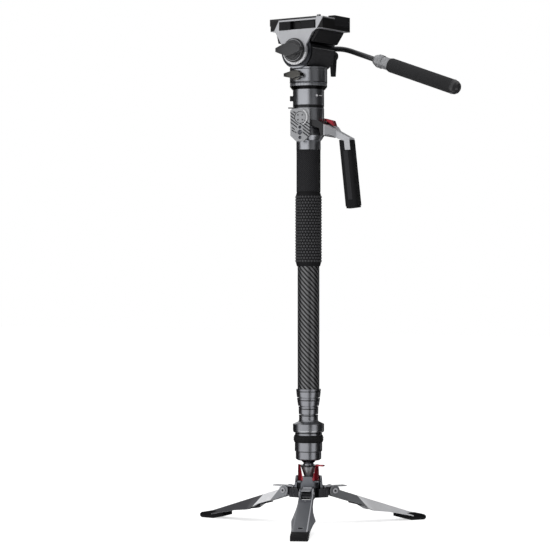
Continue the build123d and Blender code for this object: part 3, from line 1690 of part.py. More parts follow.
with BuildPart() as plate_lock_lever:
    lever_low = tilt_height + rail_recess_bottom + seat_gap
    lever_high = tilt_height + rail_recess_top - seat_gap
    with BuildSketch(Plane.XY.offset(lever_low)) as lever_section:
        lever_middle = plate_lever_pivot_x + (plate_lever_length - plate_lever_width) / 2
        with Locations((lever_middle, plate_lever_pivot_y)):
            SlotOverall(plate_lever_length, plate_lever_width)
    extrude(lever_section.sketch, amount=lever_high - lever_low)
    pin_plane = Plane(
        origin=(plate_lever_pivot_x, plate_lever_pivot_y, lever_low - lever_pin_overhang),
        z_dir=(0, 0, 1),
    )
    rod(plate_lever_pin_radius, pin_plane, lever_high - lever_low + 2 * lever_pin_overhang)
plate_lock_lever.part.label = "plate_lock_lever"
export_step(plate_lock_lever.part, "parts/plate_lock_lever.step")

with BuildPart() as plate_release_button:
    button_face = cheek_outer + plate_button_proud
    slab(
        box_outline(plate_button_start, plate_button_end, lever_low, lever_high),
        upright(0, -button_face + plate_button_depth),
        plate_button_depth,
    )
plate_release_button.part.label = "plate_release_button"
export_step(plate_release_button.part, "parts/plate_release_button.step")
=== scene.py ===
from math import cos, pi, radians, sin, tan

import bmesh
import bpy
from mathutils import Matrix, Vector


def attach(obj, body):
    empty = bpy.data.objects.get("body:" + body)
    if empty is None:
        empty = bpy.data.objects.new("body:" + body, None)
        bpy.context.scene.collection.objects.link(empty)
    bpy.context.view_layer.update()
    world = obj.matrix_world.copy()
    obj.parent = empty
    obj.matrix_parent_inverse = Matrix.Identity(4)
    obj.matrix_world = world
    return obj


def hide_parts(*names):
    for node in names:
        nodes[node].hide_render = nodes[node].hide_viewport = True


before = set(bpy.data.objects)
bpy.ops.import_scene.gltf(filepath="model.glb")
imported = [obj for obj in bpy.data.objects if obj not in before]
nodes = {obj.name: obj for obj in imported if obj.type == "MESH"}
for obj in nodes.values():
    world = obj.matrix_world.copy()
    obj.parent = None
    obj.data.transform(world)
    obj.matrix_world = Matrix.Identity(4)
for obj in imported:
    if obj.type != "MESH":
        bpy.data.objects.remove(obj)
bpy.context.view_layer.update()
scene = bpy.context.scene
print("frame loaded:", len(nodes), "nodes")


# Camera, at the photograph's angle
cameraView = {"place": (1.8375, -2.7177, 0.400), "turn": 35.0, "lens": 134.18, "sensor": 36.0}


def setCamera():
    lens = bpy.data.cameras.new("photoCamera")
    lens.lens = cameraView["lens"]
    lens.sensor_width = cameraView["sensor"]
    holder = bpy.data.objects.new("photoCamera", lens)
    holder.location = cameraView["place"]
    holder.rotation_euler = (radians(90), 0, radians(cameraView["turn"]))
    scene.collection.objects.link(holder)
    scene.camera = holder
    scene.view_settings.view_transform = "Standard"


setCamera()
print("camera set")


# Places that several pieces share: the tilt axis, the pan bar's line and the side handle's pivot
upright = Matrix.Identity(4)
tiltHeight = 0.756
tiltFront = Matrix.Translation((0, 0, tiltHeight)) @ Matrix.Rotation(pi / 2, 4, "X")
panBar = {"start": (0.093, 0.052, 0.74348), "slope": 19.5}
barPlace = Matrix.Translation(panBar["start"]) @ Matrix.Rotation(radians(90 + panBar["slope"]), 4, "Y")
handleTurn = 11.0
handlePivot = 0.65
handlePlace = Matrix.Rotation(radians(handleTurn), 4, "Z")


# Small helpers for node trees
def put(tree, kind, inputs=None, **settings):
    node = tree.nodes.new("ShaderNode" + kind)
    for name, value in settings.items():
        setattr(node, name, value)
    for key, value in (inputs or {}).items():
        if isinstance(value, bpy.types.NodeSocket):
            tree.links.new(value, node.inputs[key])
        else:
            node.inputs[key].default_value = value
    return node


def calc(tree, operation, *values):
    return put(tree, "Math", dict(enumerate(values)), operation=operation).outputs[0]


def above(tree, value, limit):
    return calc(tree, "GREATER_THAN", value, limit)


def below(tree, value, limit):
    return calc(tree, "LESS_THAN", value, limit)


def both(tree, first, second):
    return calc(tree, "MULTIPLY", first, second)


def either(tree, first, second):
    return calc(tree, "MAXIMUM", first, second)


def opaque(color):
    return (*color, 1.0)


def mixColor(tree, factor, first, second):
    return put(tree, "Mix", {0: factor, 6: first, 7: second}, data_type="RGBA").outputs[2]


def objectPlace(tree):
    return put(tree, "TexCoord").outputs["Object"]


def objectAxes(tree):
    return put(tree, "SeparateXYZ", {0: objectPlace(tree)}).outputs


def reachOf(tree, first, second):
    square = calc(tree, "MULTIPLY_ADD", first, first, calc(tree, "MULTIPLY", second, second))
    return calc(tree, "SQRT", square)


def distanceAlong(tree, turn):  # in the level direction that is turned this far from X
    direction = (cos(radians(turn)), sin(radians(turn)), 0)
    given = {0: objectPlace(tree), 1: direction}
    return put(tree, "VectorMath", given, operation="DOT_PRODUCT").outputs["Value"]


def newGroup(name, inputs, outputs):
    group = bpy.data.node_groups.new(name, "ShaderNodeTree")
    for label, kind, value in inputs:
        socket = group.interface.new_socket(label, in_out="INPUT", socket_type="NodeSocket" + kind)
        socket.default_value = value
    for label, kind in outputs:
        group.interface.new_socket(label, in_out="OUTPUT", socket_type="NodeSocket" + kind)
    return group, group.nodes.new("NodeGroupInput"), group.nodes.new("NodeGroupOutput")


# Grain, soft edges and edge wear, for every finish
grainValues = {"detail": 3.0, "cloudScale": 38.0, "cloudDetail": 4.0, "grainShare": 0.45, "cloudShare": 0.55,
               "edgeSamples": 6, "wearGain": 7.0, "bump": 0.0003}


def makeSurfaceGrain():
    group, given, result = newGroup(
        "surfaceGrain",
        [("Grain Size", "Float", 0.0008), ("Grain Depth", "Float", 0.2), ("Edge Radius", "Float", 0.0004)],
        [("Tone", "Float"), ("Wear", "Float"), ("Normal", "Vector")],
    )
    place = objectPlace(group)
    fine = {"Vector": place, "Scale": calc(group, "DIVIDE", 1.0, given.outputs["Grain Size"]),
            "Detail": grainValues["detail"]}
    broad = {"Vector": place, "Scale": grainValues["cloudScale"], "Detail": grainValues["cloudDetail"]}
    grain = put(group, "TexNoise", fine).outputs[0]
    cloud = put(group, "TexNoise", broad).outputs[0]
    radius = {"Radius": given.outputs["Edge Radius"]}
    edge = put(group, "Bevel", radius, samples=grainValues["edgeSamples"]).outputs[0]
    flat = put(group, "NewGeometry").outputs["Normal"]
    turned = put(group, "VectorMath", {0: edge, 1: flat}, operation="DOT_PRODUCT").outputs["Value"]
    bend = calc(group, "MULTIPLY", calc(group, "SUBTRACT", 1.0, turned), grainValues["wearGain"])
    rubbed = put(group, "Math", {0: bend, 1: cloud}, operation="MULTIPLY", use_clamp=True).outputs[0]
    shade = calc(group, "MULTIPLY", cloud, grainValues["cloudShare"])
    tone = calc(group, "MULTIPLY_ADD", grain, grainValues["grainShare"], shade)
    depth = given.outputs["Grain Depth"]
    raised = {"Height": grain, "Strength": depth, "Distance": grainValues["bump"], "Normal": edge}
    bump = put(group, "Bump", raised).outputs[0]
    for label, socket in (("Tone", tone), ("Wear", rubbed), ("Normal", bump)):
        group.links.new(socket, result.inputs[label])
    return group


# How far round a round piece and how far along it, in metres, from a vector whose Z is the axis
def makeRoundPlace():
    group, given, result = newGroup(
        "roundPlace",
        [("Vector", "Vector", (0, 0, 0)), ("Radius", "Float", 0.0175)],
        [("Around", "Float"), ("Along", "Float")],
    )
    parts = put(group, "SeparateXYZ", {0: given.outputs["Vector"]}).outputs
    angle = calc(group, "ARCTAN2", parts["Y"], parts["X"])
    around = calc(group, "MULTIPLY", angle, given.outputs["Radius"])
    group.links.new(around, result.inputs["Around"])
    group.links.new(parts["Z"], result.inputs["Along"])
    return group


# Twill: two tows over, two under, one step further in each row
def makeTwill():
    group, given, result = newGroup(
        "twill",
        [("Around", "Float", 0), ("Along", "Float", 0), ("Tow", "Float", 0.0019)],
        [("Over", "Float"), ("Height", "Float")],
    )
    across = calc(group, "DIVIDE", given.outputs["Around"], given.outputs["Tow"])
    up = calc(group, "DIVIDE", given.outputs["Along"], given.outputs["Tow"])
    step = calc(group, "ADD", calc(group, "FLOOR", across), calc(group, "FLOOR", up))
    over = below(group, calc(group, "FLOORED_MODULO", step, 4.0), 2.0)
    crownAcross = calc(group, "SINE", calc(group, "MULTIPLY", calc(group, "FRACT", across), pi))
    crownUp = calc(group, "SINE", calc(group, "MULTIPLY", calc(group, "FRACT", up), pi))
    under = calc(group, "SUBTRACT", 1.0, over)
    height = calc(group, "MULTIPLY_ADD", crownAcross, over, calc(group, "MULTIPLY", crownUp, under))
    group.links.new(over, result.inputs["Over"])
    group.links.new(height, result.inputs["Height"])
    return group


# Raised diamonds, for grips and for the drum's cover
def makeDiamonds():
    group, given, result = newGroup(
        "diamonds",
        [("Around", "Float", 0), ("Along", "Float", 0), ("Pitch", "Float", 0.002)],
        [("Height", "Float")],
    )
    first = calc(group, "ADD", given.outputs["Around"], given.outputs["Along"])
    second = calc(group, "SUBTRACT", given.outputs["Around"], given.outputs["Along"])
    turn = calc(group, "DIVIDE", 2 * pi, given.outputs["Pitch"])
    waves = [calc(group, "SINE", calc(group, "MULTIPLY", line, turn)) for line in (first, second)]
    group.links.new(either(group, *waves), result.inputs["Height"])
    return group


surfaceGrain = makeSurfaceGrain()
roundPlace = makeRoundPlace()
twill = makeTwill()
diamonds = makeDiamonds()
print("shader groups made")


# Finishes: dark and light colour, colour of rubbed edges, shader values and grain
looks = {
    "gunmetal": {
        "dark": (0.36, 0.37, 0.4), "light": (0.5, 0.51, 0.54), "worn": (0.6, 0.6, 0.63),
        "metallic": 1.0, "rough": 0.24, "spread": 0.12,
        "grain": 0.0006, "depth": 0.08, "edge": 0.0005, "wear": 0.5,
    },
    "legMetal": {
        "dark": (0.27, 0.275, 0.295), "light": (0.36, 0.365, 0.39), "worn": (0.75, 0.75, 0.78),
        "metallic": 0.25, "rough": 0.3, "spread": 0.15,
        "grain": 0.0007, "depth": 0.15, "edge": 0.0007, "wear": 0.6,
    },
    "hubMetal": {
        "dark": (0.02, 0.02, 0.023), "light": (0.05, 0.05, 0.055), "worn": (0.5, 0.5, 0.53),
        "metallic": 1.0, "rough": 0.28, "spread": 0.12,
        "grain": 0.0007, "depth": 0.12, "edge": 0.0005, "wear": 0.5,
    },
    "cradleMetal": {
        "dark": (0.36, 0.365, 0.385), "light": (0.6, 0.605, 0.63), "worn": (0.85, 0.85, 0.88),
        "metallic": 0.6, "rough": 0.3, "spread": 0.12,
        "grain": 0.0006, "depth": 0.1, "edge": 0.0006, "wear": 0.6,
    },
    "plateMetal": {
        "dark": (0.26, 0.265, 0.275), "light": (0.42, 0.425, 0.44), "worn": (0.95, 0.95, 0.96),
        "metallic": 0.7, "rough": 0.36, "spread": 0.12,
        "grain": 0.0006, "depth": 0.1, "edge": 0.0004, "wear": 0.5,
    },
    "collarMetal": {
        "dark": (0.2, 0.205, 0.225), "light": (0.32, 0.325, 0.345), "worn": (0.6, 0.6, 0.63),
        "metallic": 1.0, "rough": 0.24, "spread": 0.12,
        "grain": 0.0006, "depth": 0.08, "edge": 0.0004, "wear": 0.5,
    },
    "blackMetal": {
        "dark": (0.015, 0.015, 0.017), "light": (0.03, 0.03, 0.033), "worn": (0.2, 0.2, 0.21),
        "metallic": 0.6, "rough": 0.22, "spread": 0.12,
        "grain": 0.0006, "depth": 0.06, "edge": 0.0005, "wear": 0.4,
    },
    "redMetal": {
        "dark": (0.22, 0.004, 0.012), "light": (0.42, 0.012, 0.03), "worn": (0.85, 0.35, 0.38),
        "metallic": 0.7, "rough": 0.25, "spread": 0.12,
        "grain": 0.0006, "depth": 0.08, "edge": 0.0004, "wear": 0.6,
    },
    "polishedSteel": {
        "dark": (0.5, 0.5, 0.52), "light": (0.68, 0.68, 0.7), "worn": (0.9, 0.9, 0.9),
        "metallic": 1.0, "rough": 0.08, "spread": 0.08,
        "grain": 0.0008, "depth": 0.02, "edge": 0.0003, "wear": 0.3,
    },
    # Bright cream worn edges: partly wear and partly a painted highlight on the pan knob
    "darkSteel": {
        "dark": (0.05, 0.049, 0.046), "light": (0.13, 0.127, 0.118), "worn": (0.85, 0.84, 0.78),
        "metallic": 1.0, "rough": 0.2, "spread": 0.12,
        "grain": 0.0006, "depth": 0.1, "edge": 0.0008, "wear": 0.9,
    },
    "rodSteel": {
        "dark": (0.05, 0.051, 0.053), "light": (0.1, 0.102, 0.106), "worn": (0.5, 0.5, 0.52),
        "metallic": 0.8, "rough": 0.18, "spread": 0.1,
        "grain": 0.0005, "depth": 0.05, "edge": 0.0004, "wear": 0.3,
    },
    "turnedSteel": {
        "dark": (0.28, 0.28, 0.3), "light": (0.42, 0.42, 0.44), "worn": (0.85, 0.85, 0.85),
        "metallic": 1.0, "rough": 0.22, "spread": 0.12,
        "grain": 0.0004, "depth": 0.1, "edge": 0.0003, "wear": 0.4,
    },
    "carbonTwill": {
        "dark": (0.004, 0.004, 0.0045), "light": (0.009, 0.009, 0.01), "worn": (0.05, 0.05, 0.05),
        "metallic": 0.6, "rough": 0.3, "spread": 0.1,
        "grain": 0.0005, "depth": 0.03, "edge": 0.0003, "wear": 0.1,
    },
    "blackPlastic": {
        "dark": (0.006, 0.006, 0.007), "light": (0.014, 0.014, 0.016), "worn": (0.12, 0.12, 0.12),
        "metallic": 0.0, "rough": 0.34, "spread": 0.2,
        "grain": 0.0005, "depth": 0.25, "edge": 0.0005, "wear": 0.4,
    },
    "knobGrey": {
        "dark": (0.015, 0.015, 0.016), "light": (0.1, 0.1, 0.104), "worn": (0.35, 0.35, 0.36),
        "metallic": 0.4, "rough": 0.32, "spread": 0.15,
        "grain": 0.0005, "depth": 0.2, "edge": 0.0008, "wear": 0.5,
    },
    "bearingPlastic": {
        "dark": (0.4, 0.4, 0.38), "light": (0.55, 0.55, 0.52), "worn": (0.7, 0.7, 0.68),
        "metallic": 0.0, "rough": 0.5, "spread": 0.15,
        "grain": 0.0006, "depth": 0.15, "edge": 0.0003, "wear": 0.2,
    },
    "blackRubber": {
        "dark": (0.006, 0.006, 0.007), "light": (0.014, 0.014, 0.015), "worn": (0.07, 0.07, 0.07),
        "metallic": 0.0, "rough": 0.5, "spread": 0.25,
        "grain": 0.0006, "depth": 0.35, "edge": 0.0008, "wear": 0.5,
    },
    "gripFoam": {
        "dark": (0.018, 0.018, 0.019), "light": (0.04, 0.04, 0.042), "worn": (0.06, 0.06, 0.062),
        "metallic": 0.0, "rough": 0.55, "spread": 0.2,
        "grain": 0.0004, "depth": 0.6, "edge": 0.0008, "wear": 0.3,
    },
    "stripRubber": {
        "dark": (0.018, 0.018, 0.02), "light": (0.034, 0.034, 0.037), "worn": (0.2, 0.2, 0.2),
        "metallic": 0.0, "rough": 0.45, "spread": 0.2,
        "grain": 0.0005, "depth": 0.35, "edge": 0.0004, "wear": 0.3,
    },
    # Lighter rubber for the grip's dots, a painted highlight on them
    "dotRubberWithSheen": {
        "dark": (0.03, 0.03, 0.033), "light": (0.06, 0.06, 0.065), "worn": (0.2, 0.2, 0.2),
        "metallic": 0.0, "rough": 0.36, "spread": 0.15,
        "grain": 0.0005, "depth": 0.2, "edge": 0.0004, "wear": 0.4,
    },
    # The white for the neck's printed marks, also used for a painted highlight on the plate's crescent
    "printAndHighlightWhite": {
        "dark": (0.62, 0.62, 0.63), "light": (0.75, 0.75, 0.76), "worn": (0.5, 0.5, 0.5),
        "metallic": 0.0, "rough": 0.4, "spread": 0.15,
        "grain": 0.0004, "depth": 0.1, "edge": 0.0001, "wear": 0.4,
    },
}
coats = {"carbonTwill": (0.35, 0.12), "redMetal": (0.4, 0.12), "blackMetal": (0.3, 0.1)}  # weight, roughness
speculars = {"carbonTwill": 0.15, "blackRubber": 0.12, "gripFoam": 0.1, "blackPlastic": 0.2,
             "blackMetal": 0.3, "stripRubber": 0.15, "knobGrey": 0.3}


def makeFinish(lookName, name=None):
    look = looks[lookName]
    material = bpy.data.materials.new(name or lookName)
    material.use_nodes = True
    tree = material.node_tree
    shader = tree.nodes["Principled BSDF"]
    given = {"Grain Size": look["grain"], "Grain Depth": look["depth"], "Edge Radius": look["edge"]}
    grain = put(tree, "Group", given, node_tree=surfaceGrain)
    body = mixColor(tree, grain.outputs["Tone"], opaque(look["dark"]), opaque(look["light"]))
    rubbed = calc(tree, "MULTIPLY", grain.outputs["Wear"], look["wear"])
    color = mixColor(tree, rubbed, body, opaque(look["worn"]))
    rough = calc(tree, "MULTIPLY_ADD", grain.outputs["Tone"], look["spread"], look["rough"])
    tree.links.new(color, shader.inputs["Base Color"])
    tree.links.new(rough, shader.inputs["Roughness"])
    tree.links.new(grain.outputs["Normal"], shader.inputs["Normal"])
    shader.inputs["Metallic"].default_value = look["metallic"]
    if lookName in speculars:
        shader.inputs["Specular IOR Level"].default_value = speculars[lookName]
    if lookName in coats:
        shader.inputs["Coat Weight"].default_value = coats[lookName][0]
        shader.inputs["Coat Roughness"].default_value = coats[lookName][1]
    return {"material": material, "tree": tree, "shader": shader, "grain": grain.outputs, "color": color}


def paint(parts, color):
    parts["tree"].links.new(color, parts["shader"].inputs["Base Color"])


def raiseSurface(parts, height, distance, strength=1.0):
    normal = parts["grain"]["Normal"]
    given = {"Height": height, "Distance": distance, "Strength": strength, "Normal": normal}
    bump = put(parts["tree"], "Bump", given)
    parts["tree"].links.new(bump.outputs[0], parts["shader"].inputs["Normal"])


def placeOnRound(tree, radius, axis):
    back = axis.inverted()
    given = {"Vector": objectPlace(tree), "Location": back.translation, "Rotation": back.to_euler()}
    moved = put(tree, "Mapping", given).outputs[0]
    return put(tree, "Group", {"Vector": moved, "Radius": radius}, node_tree=roundPlace).outputs


# Carbon tube: twill under lacquer
carbonWeave = {"tow": 0.0019, "radius": 0.0175, "tint": (0.26, 0.262, 0.27), "rise": 0.0001, "strength": 0.2}


def makeCarbon():
    parts = makeFinish("carbonTwill")
    tree = parts["tree"]
    around, along = placeOnRound(tree, carbonWeave["radius"], upright)
    given = {"Around": around, "Along": along, "Tow": carbonWeave["tow"]}
    weave = put(tree, "Group", given, node_tree=twill).outputs
    lit = calc(tree, "MULTIPLY", weave["Over"], weave["Height"])
    paint(parts, mixColor(tree, lit, parts["color"], opaque(carbonWeave["tint"])))
    raiseSurface(parts, weave["Height"], carbonWeave["rise"], carbonWeave["strength"])
    return parts["material"]


# Raised diamonds round the upper grip and the drum's cover, with lighter crests
diamondCuts = {
    "upperGripRubber": {
        "look": "blackRubber", "radius": 0.01925, "pitch": 0.0032, "rise": 0.0003, "axis": upright,
    },
    "coverPlastic": {
        "look": "stripRubber", "radius": 0.0293, "pitch": 0.0036, "rise": 0.0004, "axis": tiltFront,
    },
}
diamondCrest = {"start": 0.75, "share": 0.8, "tint": (0.045, 0.045, 0.049), "strength": 0.8}


def diamondHeight(tree, place, pitch):
    given = {"Around": place["Around"], "Along": place["Along"], "Pitch": pitch}
    return put(tree, "Group", given, node_tree=diamonds).outputs["Height"]


def makeDiamondFinish(name):
    cut = diamondCuts[name]
    parts = makeFinish(cut["look"], name)
    tree = parts["tree"]
    height = diamondHeight(tree, placeOnRound(tree, cut["radius"], cut["axis"]), cut["pitch"])
    crest = calc(tree, "MULTIPLY", above(tree, height, diamondCrest["start"]), diamondCrest["share"])
    paint(parts, mixColor(tree, crest, parts["color"], opaque(diamondCrest["tint"])))
    raiseSurface(parts, height, cut["rise"], diamondCrest["strength"])
    return parts["material"]


# Hub and turret: one tone below a height and another above it, in patches
heightSplits = {
    "hubMetal": {
        "look": "hubMetal", "height": 0.0605, "dark": (0.13, 0.136, 0.152), "light": (0.22, 0.228, 0.25),
    },
    "drumMetal": {
        "look": "gunmetal", "height": 0.7312, "dark": (0.022, 0.023, 0.027), "light": (0.07, 0.073, 0.082),
    },
}


def makeSplitFinish(name):
    split = heightSplits[name]
    parts = makeFinish(split["look"], name)
    tree = parts["tree"]
    higher = above(tree, objectAxes(tree)["Z"], split["height"])
    toned = mixColor(tree, parts["grain"]["Tone"], opaque(split["dark"]), opaque(split["light"]))
    paint(parts, mixColor(tree, higher, parts["color"], toned))
    return parts["material"]


# Drag ring: black below its knurled rim
ringSplit = {"height": 0.7011, "black": (0.01, 0.01, 0.011)}


def makeDragRing():
    parts = makeFinish("gunmetal", "dragRingMetal")
    tree = parts["tree"]
    lower = below(tree, objectAxes(tree)["Z"], ringSplit["height"])
    paint(parts, mixColor(tree, lower, parts["color"], opaque(ringSplit["black"])))
    return parts["material"]


# Camera plate: two ribbed rubber strips let into its top
plateStrips = {"top": 0.8096, "inner": 0.008, "outer": 0.02, "tint": (0.012, 0.012, 0.013), "pitch": 0.003,
               "rise": 0.0003}


def makeCameraPlate():
    parts = makeFinish("blackMetal", "plateWithStrips")
    tree = parts["tree"]
    place = objectAxes(tree)
    side = calc(tree, "ABSOLUTE", place["Y"])
    onTop = above(tree, place["Z"], plateStrips["top"])
    between = both(tree, above(tree, side, plateStrips["inner"]), below(tree, side, plateStrips["outer"]))
    strip = both(tree, onTop, between)
    paint(parts, mixColor(tree, strip, parts["color"], opaque(plateStrips["tint"])))
    ribs = calc(tree, "SINE", calc(tree, "MULTIPLY", place["X"], 2 * pi / plateStrips["pitch"]))
    raiseSurface(parts, both(tree, ribs, strip), plateStrips["rise"])
    return parts["material"]


# Pan bar grip: foam with raised diamonds, and a glossy end cap
barGripLook = {"radius": 0.0115, "pitch": 0.0026, "rise": 0.00015, "foamRough": 0.55, "foamSpread": 0.2,
               "capStart": 0.1517, "capRough": 0.12, "capCoat": 0.6, "coatRough": 0.08}


def makeBarGrip():
    parts = makeFinish("gripFoam", "barGripFoam")
    tree = parts["tree"]
    shader = parts["shader"]
    place = placeOnRound(tree, barGripLook["radius"], barPlace)
    height = diamondHeight(tree, place, barGripLook["pitch"])
    capped = above(tree, place["Along"], barGripLook["capStart"])
    tone = parts["grain"]["Tone"]
    foam = calc(tree, "MULTIPLY_ADD", tone, barGripLook["foamSpread"], barGripLook["foamRough"])
    change = calc(tree, "SUBTRACT", barGripLook["capRough"], foam)
    tree.links.new(calc(tree, "MULTIPLY_ADD", capped, change, foam), shader.inputs["Roughness"])
    raiseSurface(parts, both(tree, height, calc(tree, "SUBTRACT", 1.0, capped)), barGripLook["rise"])
    tree.links.new(calc(tree, "MULTIPLY", capped, barGripLook["capCoat"]), shader.inputs["Coat Weight"])
    shader.inputs["Coat Roughness"].default_value = barGripLook["coatRough"]
    return parts["material"]


# Legs: painted light and shade, a tone near the hinge, one of the knee and one of the shin, with slanted
# joins between them; the lit and shaded zones differ from leg to leg
paintedLegLightAndShade = {
    "legFront": {"thigh": (0.1, 0.106, 0.12), "knee": (0.11, 0.116, 0.132), "shin": (0.14, 0.147, 0.163)},
    "legLeft": {"thigh": (0.3, 0.31, 0.33), "knee": (0.95, 0.955, 0.98), "shin": (0.09, 0.09, 0.098)},
    "legRight": {"thigh": (0.15, 0.155, 0.165), "knee": (0.16, 0.165, 0.175), "shin": (0.95, 0.955, 0.98)},
}
legJoins = {"knee": 0.071, "shin": 0.093, "height": 0.033, "slant": 0.9, "grainShare": 0.35,
            "grainTint": (0.02, 0.02, 0.022), "worn": (0.85, 0.85, 0.88)}
# Painted light on the front leg's side facets and a painted highlight line on its right facet
paintedRidgeLight = {"leg": "legFront", "turn": 30, "start": 0.0098, "end": 0.0109, "facet": (0.3, 0.31, 0.34),
            "facetShare": 0.5, "line": (0.75, 0.76, 0.8)}


def paintRidgeLight(tree, color):  # painted light on the side facets, and a painted highlight line along the right one
    across = distanceAlong(tree, paintedRidgeLight["turn"])
    facet = above(tree, calc(tree, "ABSOLUTE", across), paintedRidgeLight["start"])
    ridgeHighlight = both(tree, both(tree, facet, below(tree, across, paintedRidgeLight["end"])), above(tree, across, 0.0))
    share = calc(tree, "MULTIPLY", facet, paintedRidgeLight["facetShare"])
    color = mixColor(tree, share, color, opaque(paintedRidgeLight["facet"]))
    return mixColor(tree, ridgeHighlight, color, opaque(paintedRidgeLight["line"]))


def makeLeg(name):
    # Each leg's zone colours are painted light and shade, not tones of the metal
    paintedLegShades = {part: opaque(tone) for part, tone in paintedLegLightAndShade[name].items()}
    parts = makeFinish("legMetal", name)
    tree = parts["tree"]
    place = objectAxes(tree)
    rise = calc(tree, "SUBTRACT", place["Z"], legJoins["height"])
    reach = calc(tree, "MULTIPLY_ADD", rise, legJoins["slant"], reachOf(tree, place["Y"], place["X"]))
    color = mixColor(tree, above(tree, reach, legJoins["knee"]), paintedLegShades["thigh"], paintedLegShades["knee"])
    color = mixColor(tree, above(tree, reach, legJoins["shin"]), color, paintedLegShades["shin"])
    # The front leg also gets painted light on its facets and a painted highlight line
    if name == paintedRidgeLight["leg"]:
        color = paintRidgeLight(tree, color)
    grained = calc(tree, "MULTIPLY", parts["grain"]["Tone"], legJoins["grainShare"])
    color = mixColor(tree, grained, color, opaque(legJoins["grainTint"]))
    paint(parts, mixColor(tree, parts["grain"]["Wear"], color, opaque(legJoins["worn"])))
    return parts["material"]


# Cradle: light cheeks, painted shade turning both ends black past slanted lines, a painted shadow in the
# front rail's hollow, and under the dial a bright ribbed crescent
cradleShadeSplit = {"rightX": 0.043, "rightSlope": 0.65, "leftX": -0.0392, "leftSlope": 0.55, "lineZ": 0.789,
               "hollowFace": -0.0385, "hollowLow": 0.7885, "hollowHigh": 0.803,
               "black": (0.012, 0.012, 0.013)}
dialDisk = {"rim": 0.0192, "edge": 0.0228, "top": -0.004, "silver": (0.9, 0.9, 0.92), "ribs": 44,
            "ribDepth": 0.25, "cover": 0.7}


def makeCradle():
    parts = makeFinish("cradleMetal")
    tree = parts["tree"]
    place = objectAxes(tree)
    rise = calc(tree, "SUBTRACT", place["Z"], cradleShadeSplit["lineZ"])
    rightLine = calc(tree, "MULTIPLY_ADD", rise, cradleShadeSplit["rightSlope"], cradleShadeSplit["rightX"])
    leftLine = calc(tree, "MULTIPLY_ADD", rise, cradleShadeSplit["leftSlope"], cradleShadeSplit["leftX"])
    shadedEnds = either(tree, above(tree, place["X"], rightLine), below(tree, place["X"], leftLine))
    aboveFloor = above(tree, place["Z"], cradleShadeSplit["hollowLow"])
    hollowShadow = both(tree, above(tree, place["Y"], cradleShadeSplit["hollowFace"]),
                  both(tree, aboveFloor, below(tree, place["Z"], cradleShadeSplit["hollowHigh"])))
    # Painted shade: the black ends and the black hollow stand in for shade, not for black metal
    black = either(tree, both(tree, shadedEnds, aboveFloor), hollowShadow)

    up = calc(tree, "SUBTRACT", place["Z"], tiltHeight)
    reach = reachOf(tree, place["X"], up)
    black = either(tree, black, below(tree, reach, dialDisk["rim"]))
    turned = calc(tree, "MULTIPLY", calc(tree, "ARCTAN2", up, place["X"]), dialDisk["ribs"])
    ribbed = calc(tree, "MULTIPLY_ADD", calc(tree, "SINE", turned), dialDisk["ribDepth"], dialDisk["cover"])
    bright = both(tree, below(tree, reach, dialDisk["edge"]), below(tree, up, dialDisk["top"]))
    color = mixColor(tree, both(tree, bright, ribbed), parts["color"], opaque(dialDisk["silver"]))
    paint(parts, mixColor(tree, black, color, opaque(cradleShadeSplit["black"])))
    return parts["material"]


# Handle yoke: painted shade, black round the clamp, light further out
yokeShadeSplit = {"reach": 0.0385, "metallic": 0.2, "black": (0.014, 0.014, 0.016)}


def makeYoke():
    parts = makeFinish("cradleMetal", "yokeMetal")
    tree = parts["tree"]
    parts["shader"].inputs["Metallic"].default_value = yokeShadeSplit["metallic"]
    # Painted shade where the yoke's web faces away from the light
    shadedNearClamp = below(tree, distanceAlong(tree, handleTurn), yokeShadeSplit["reach"])
    paint(parts, mixColor(tree, shadedNearClamp, parts["color"], opaque(yokeShadeSplit["black"])))
    return parts["material"]


# Accessory plate: a slanted band of dark grooves that leaves its disc and its holes clear
plateGrooves = {"pitch": 0.0052, "share": 0.42, "slant": 0.75, "bandLow": -0.0225, "bandHigh": 0.004,
                "clearRadius": 0.0098, "topEdge": 0.0095, "holeHalf": 0.0048, "holesTop": -0.012,
                "dark": (0.045, 0.045, 0.049), "depth": 0.0004}


def makeAccessoryPlate():
    parts = makeFinish("plateMetal", "accessoryPlateMetal")
    tree = parts["tree"]
    across = distanceAlong(tree, handleTurn)
    rise = calc(tree, "SUBTRACT", objectAxes(tree)["Z"], handlePivot)
    slanted = calc(tree, "MULTIPLY_ADD", across, plateGrooves["slant"], rise)
    step = calc(tree, "FRACT", calc(tree, "DIVIDE", slanted, plateGrooves["pitch"]))
    overLow = above(tree, slanted, plateGrooves["bandLow"])
    band = both(tree, overLow, below(tree, slanted, plateGrooves["bandHigh"]))
    groove = both(tree, below(tree, step, plateGrooves["share"]), band)
    offDisc = above(tree, reachOf(tree, across, rise), plateGrooves["clearRadius"])
    clear = both(tree, offDisc, below(tree, rise, plateGrooves["topEdge"]))
    beside = above(tree, calc(tree, "ABSOLUTE", across), plateGrooves["holeHalf"])
    here = both(tree, clear, either(tree, beside, above(tree, rise, plateGrooves["holesTop"])))
    cut = both(tree, groove, here)
    paint(parts, mixColor(tree, cut, parts["color"], opaque(plateGrooves["dark"])))
    raiseSurface(parts, calc(tree, "SUBTRACT", 1.0, cut), plateGrooves["depth"])
    return parts["material"]


patterned = {
    "carbonTwill": makeCarbon,
    "cradleMetal": makeCradle,
    "yokeMetal": makeYoke,
    "cameraPlate": makeCameraPlate,
    "barGrip": makeBarGrip,
    "dragRing": makeDragRing,
    "accessoryPlate": makeAccessoryPlate,
}
plain = [name for name in looks if name not in ("carbonTwill", "cradleMetal", "hubMetal", "gripFoam")]
finishes = {name: makeFinish(name)["material"] for name in plain}
finishes.update({name: make() for name, make in patterned.items()})
finishes.update({name: makeSplitFinish(name) for name in heightSplits})
finishes.update({name: makeDiamondFinish(name) for name in diamondCuts})
finishes.update({name: makeLeg(name) for name in paintedLegLightAndShade})
print("finishes made:", len(finishes))

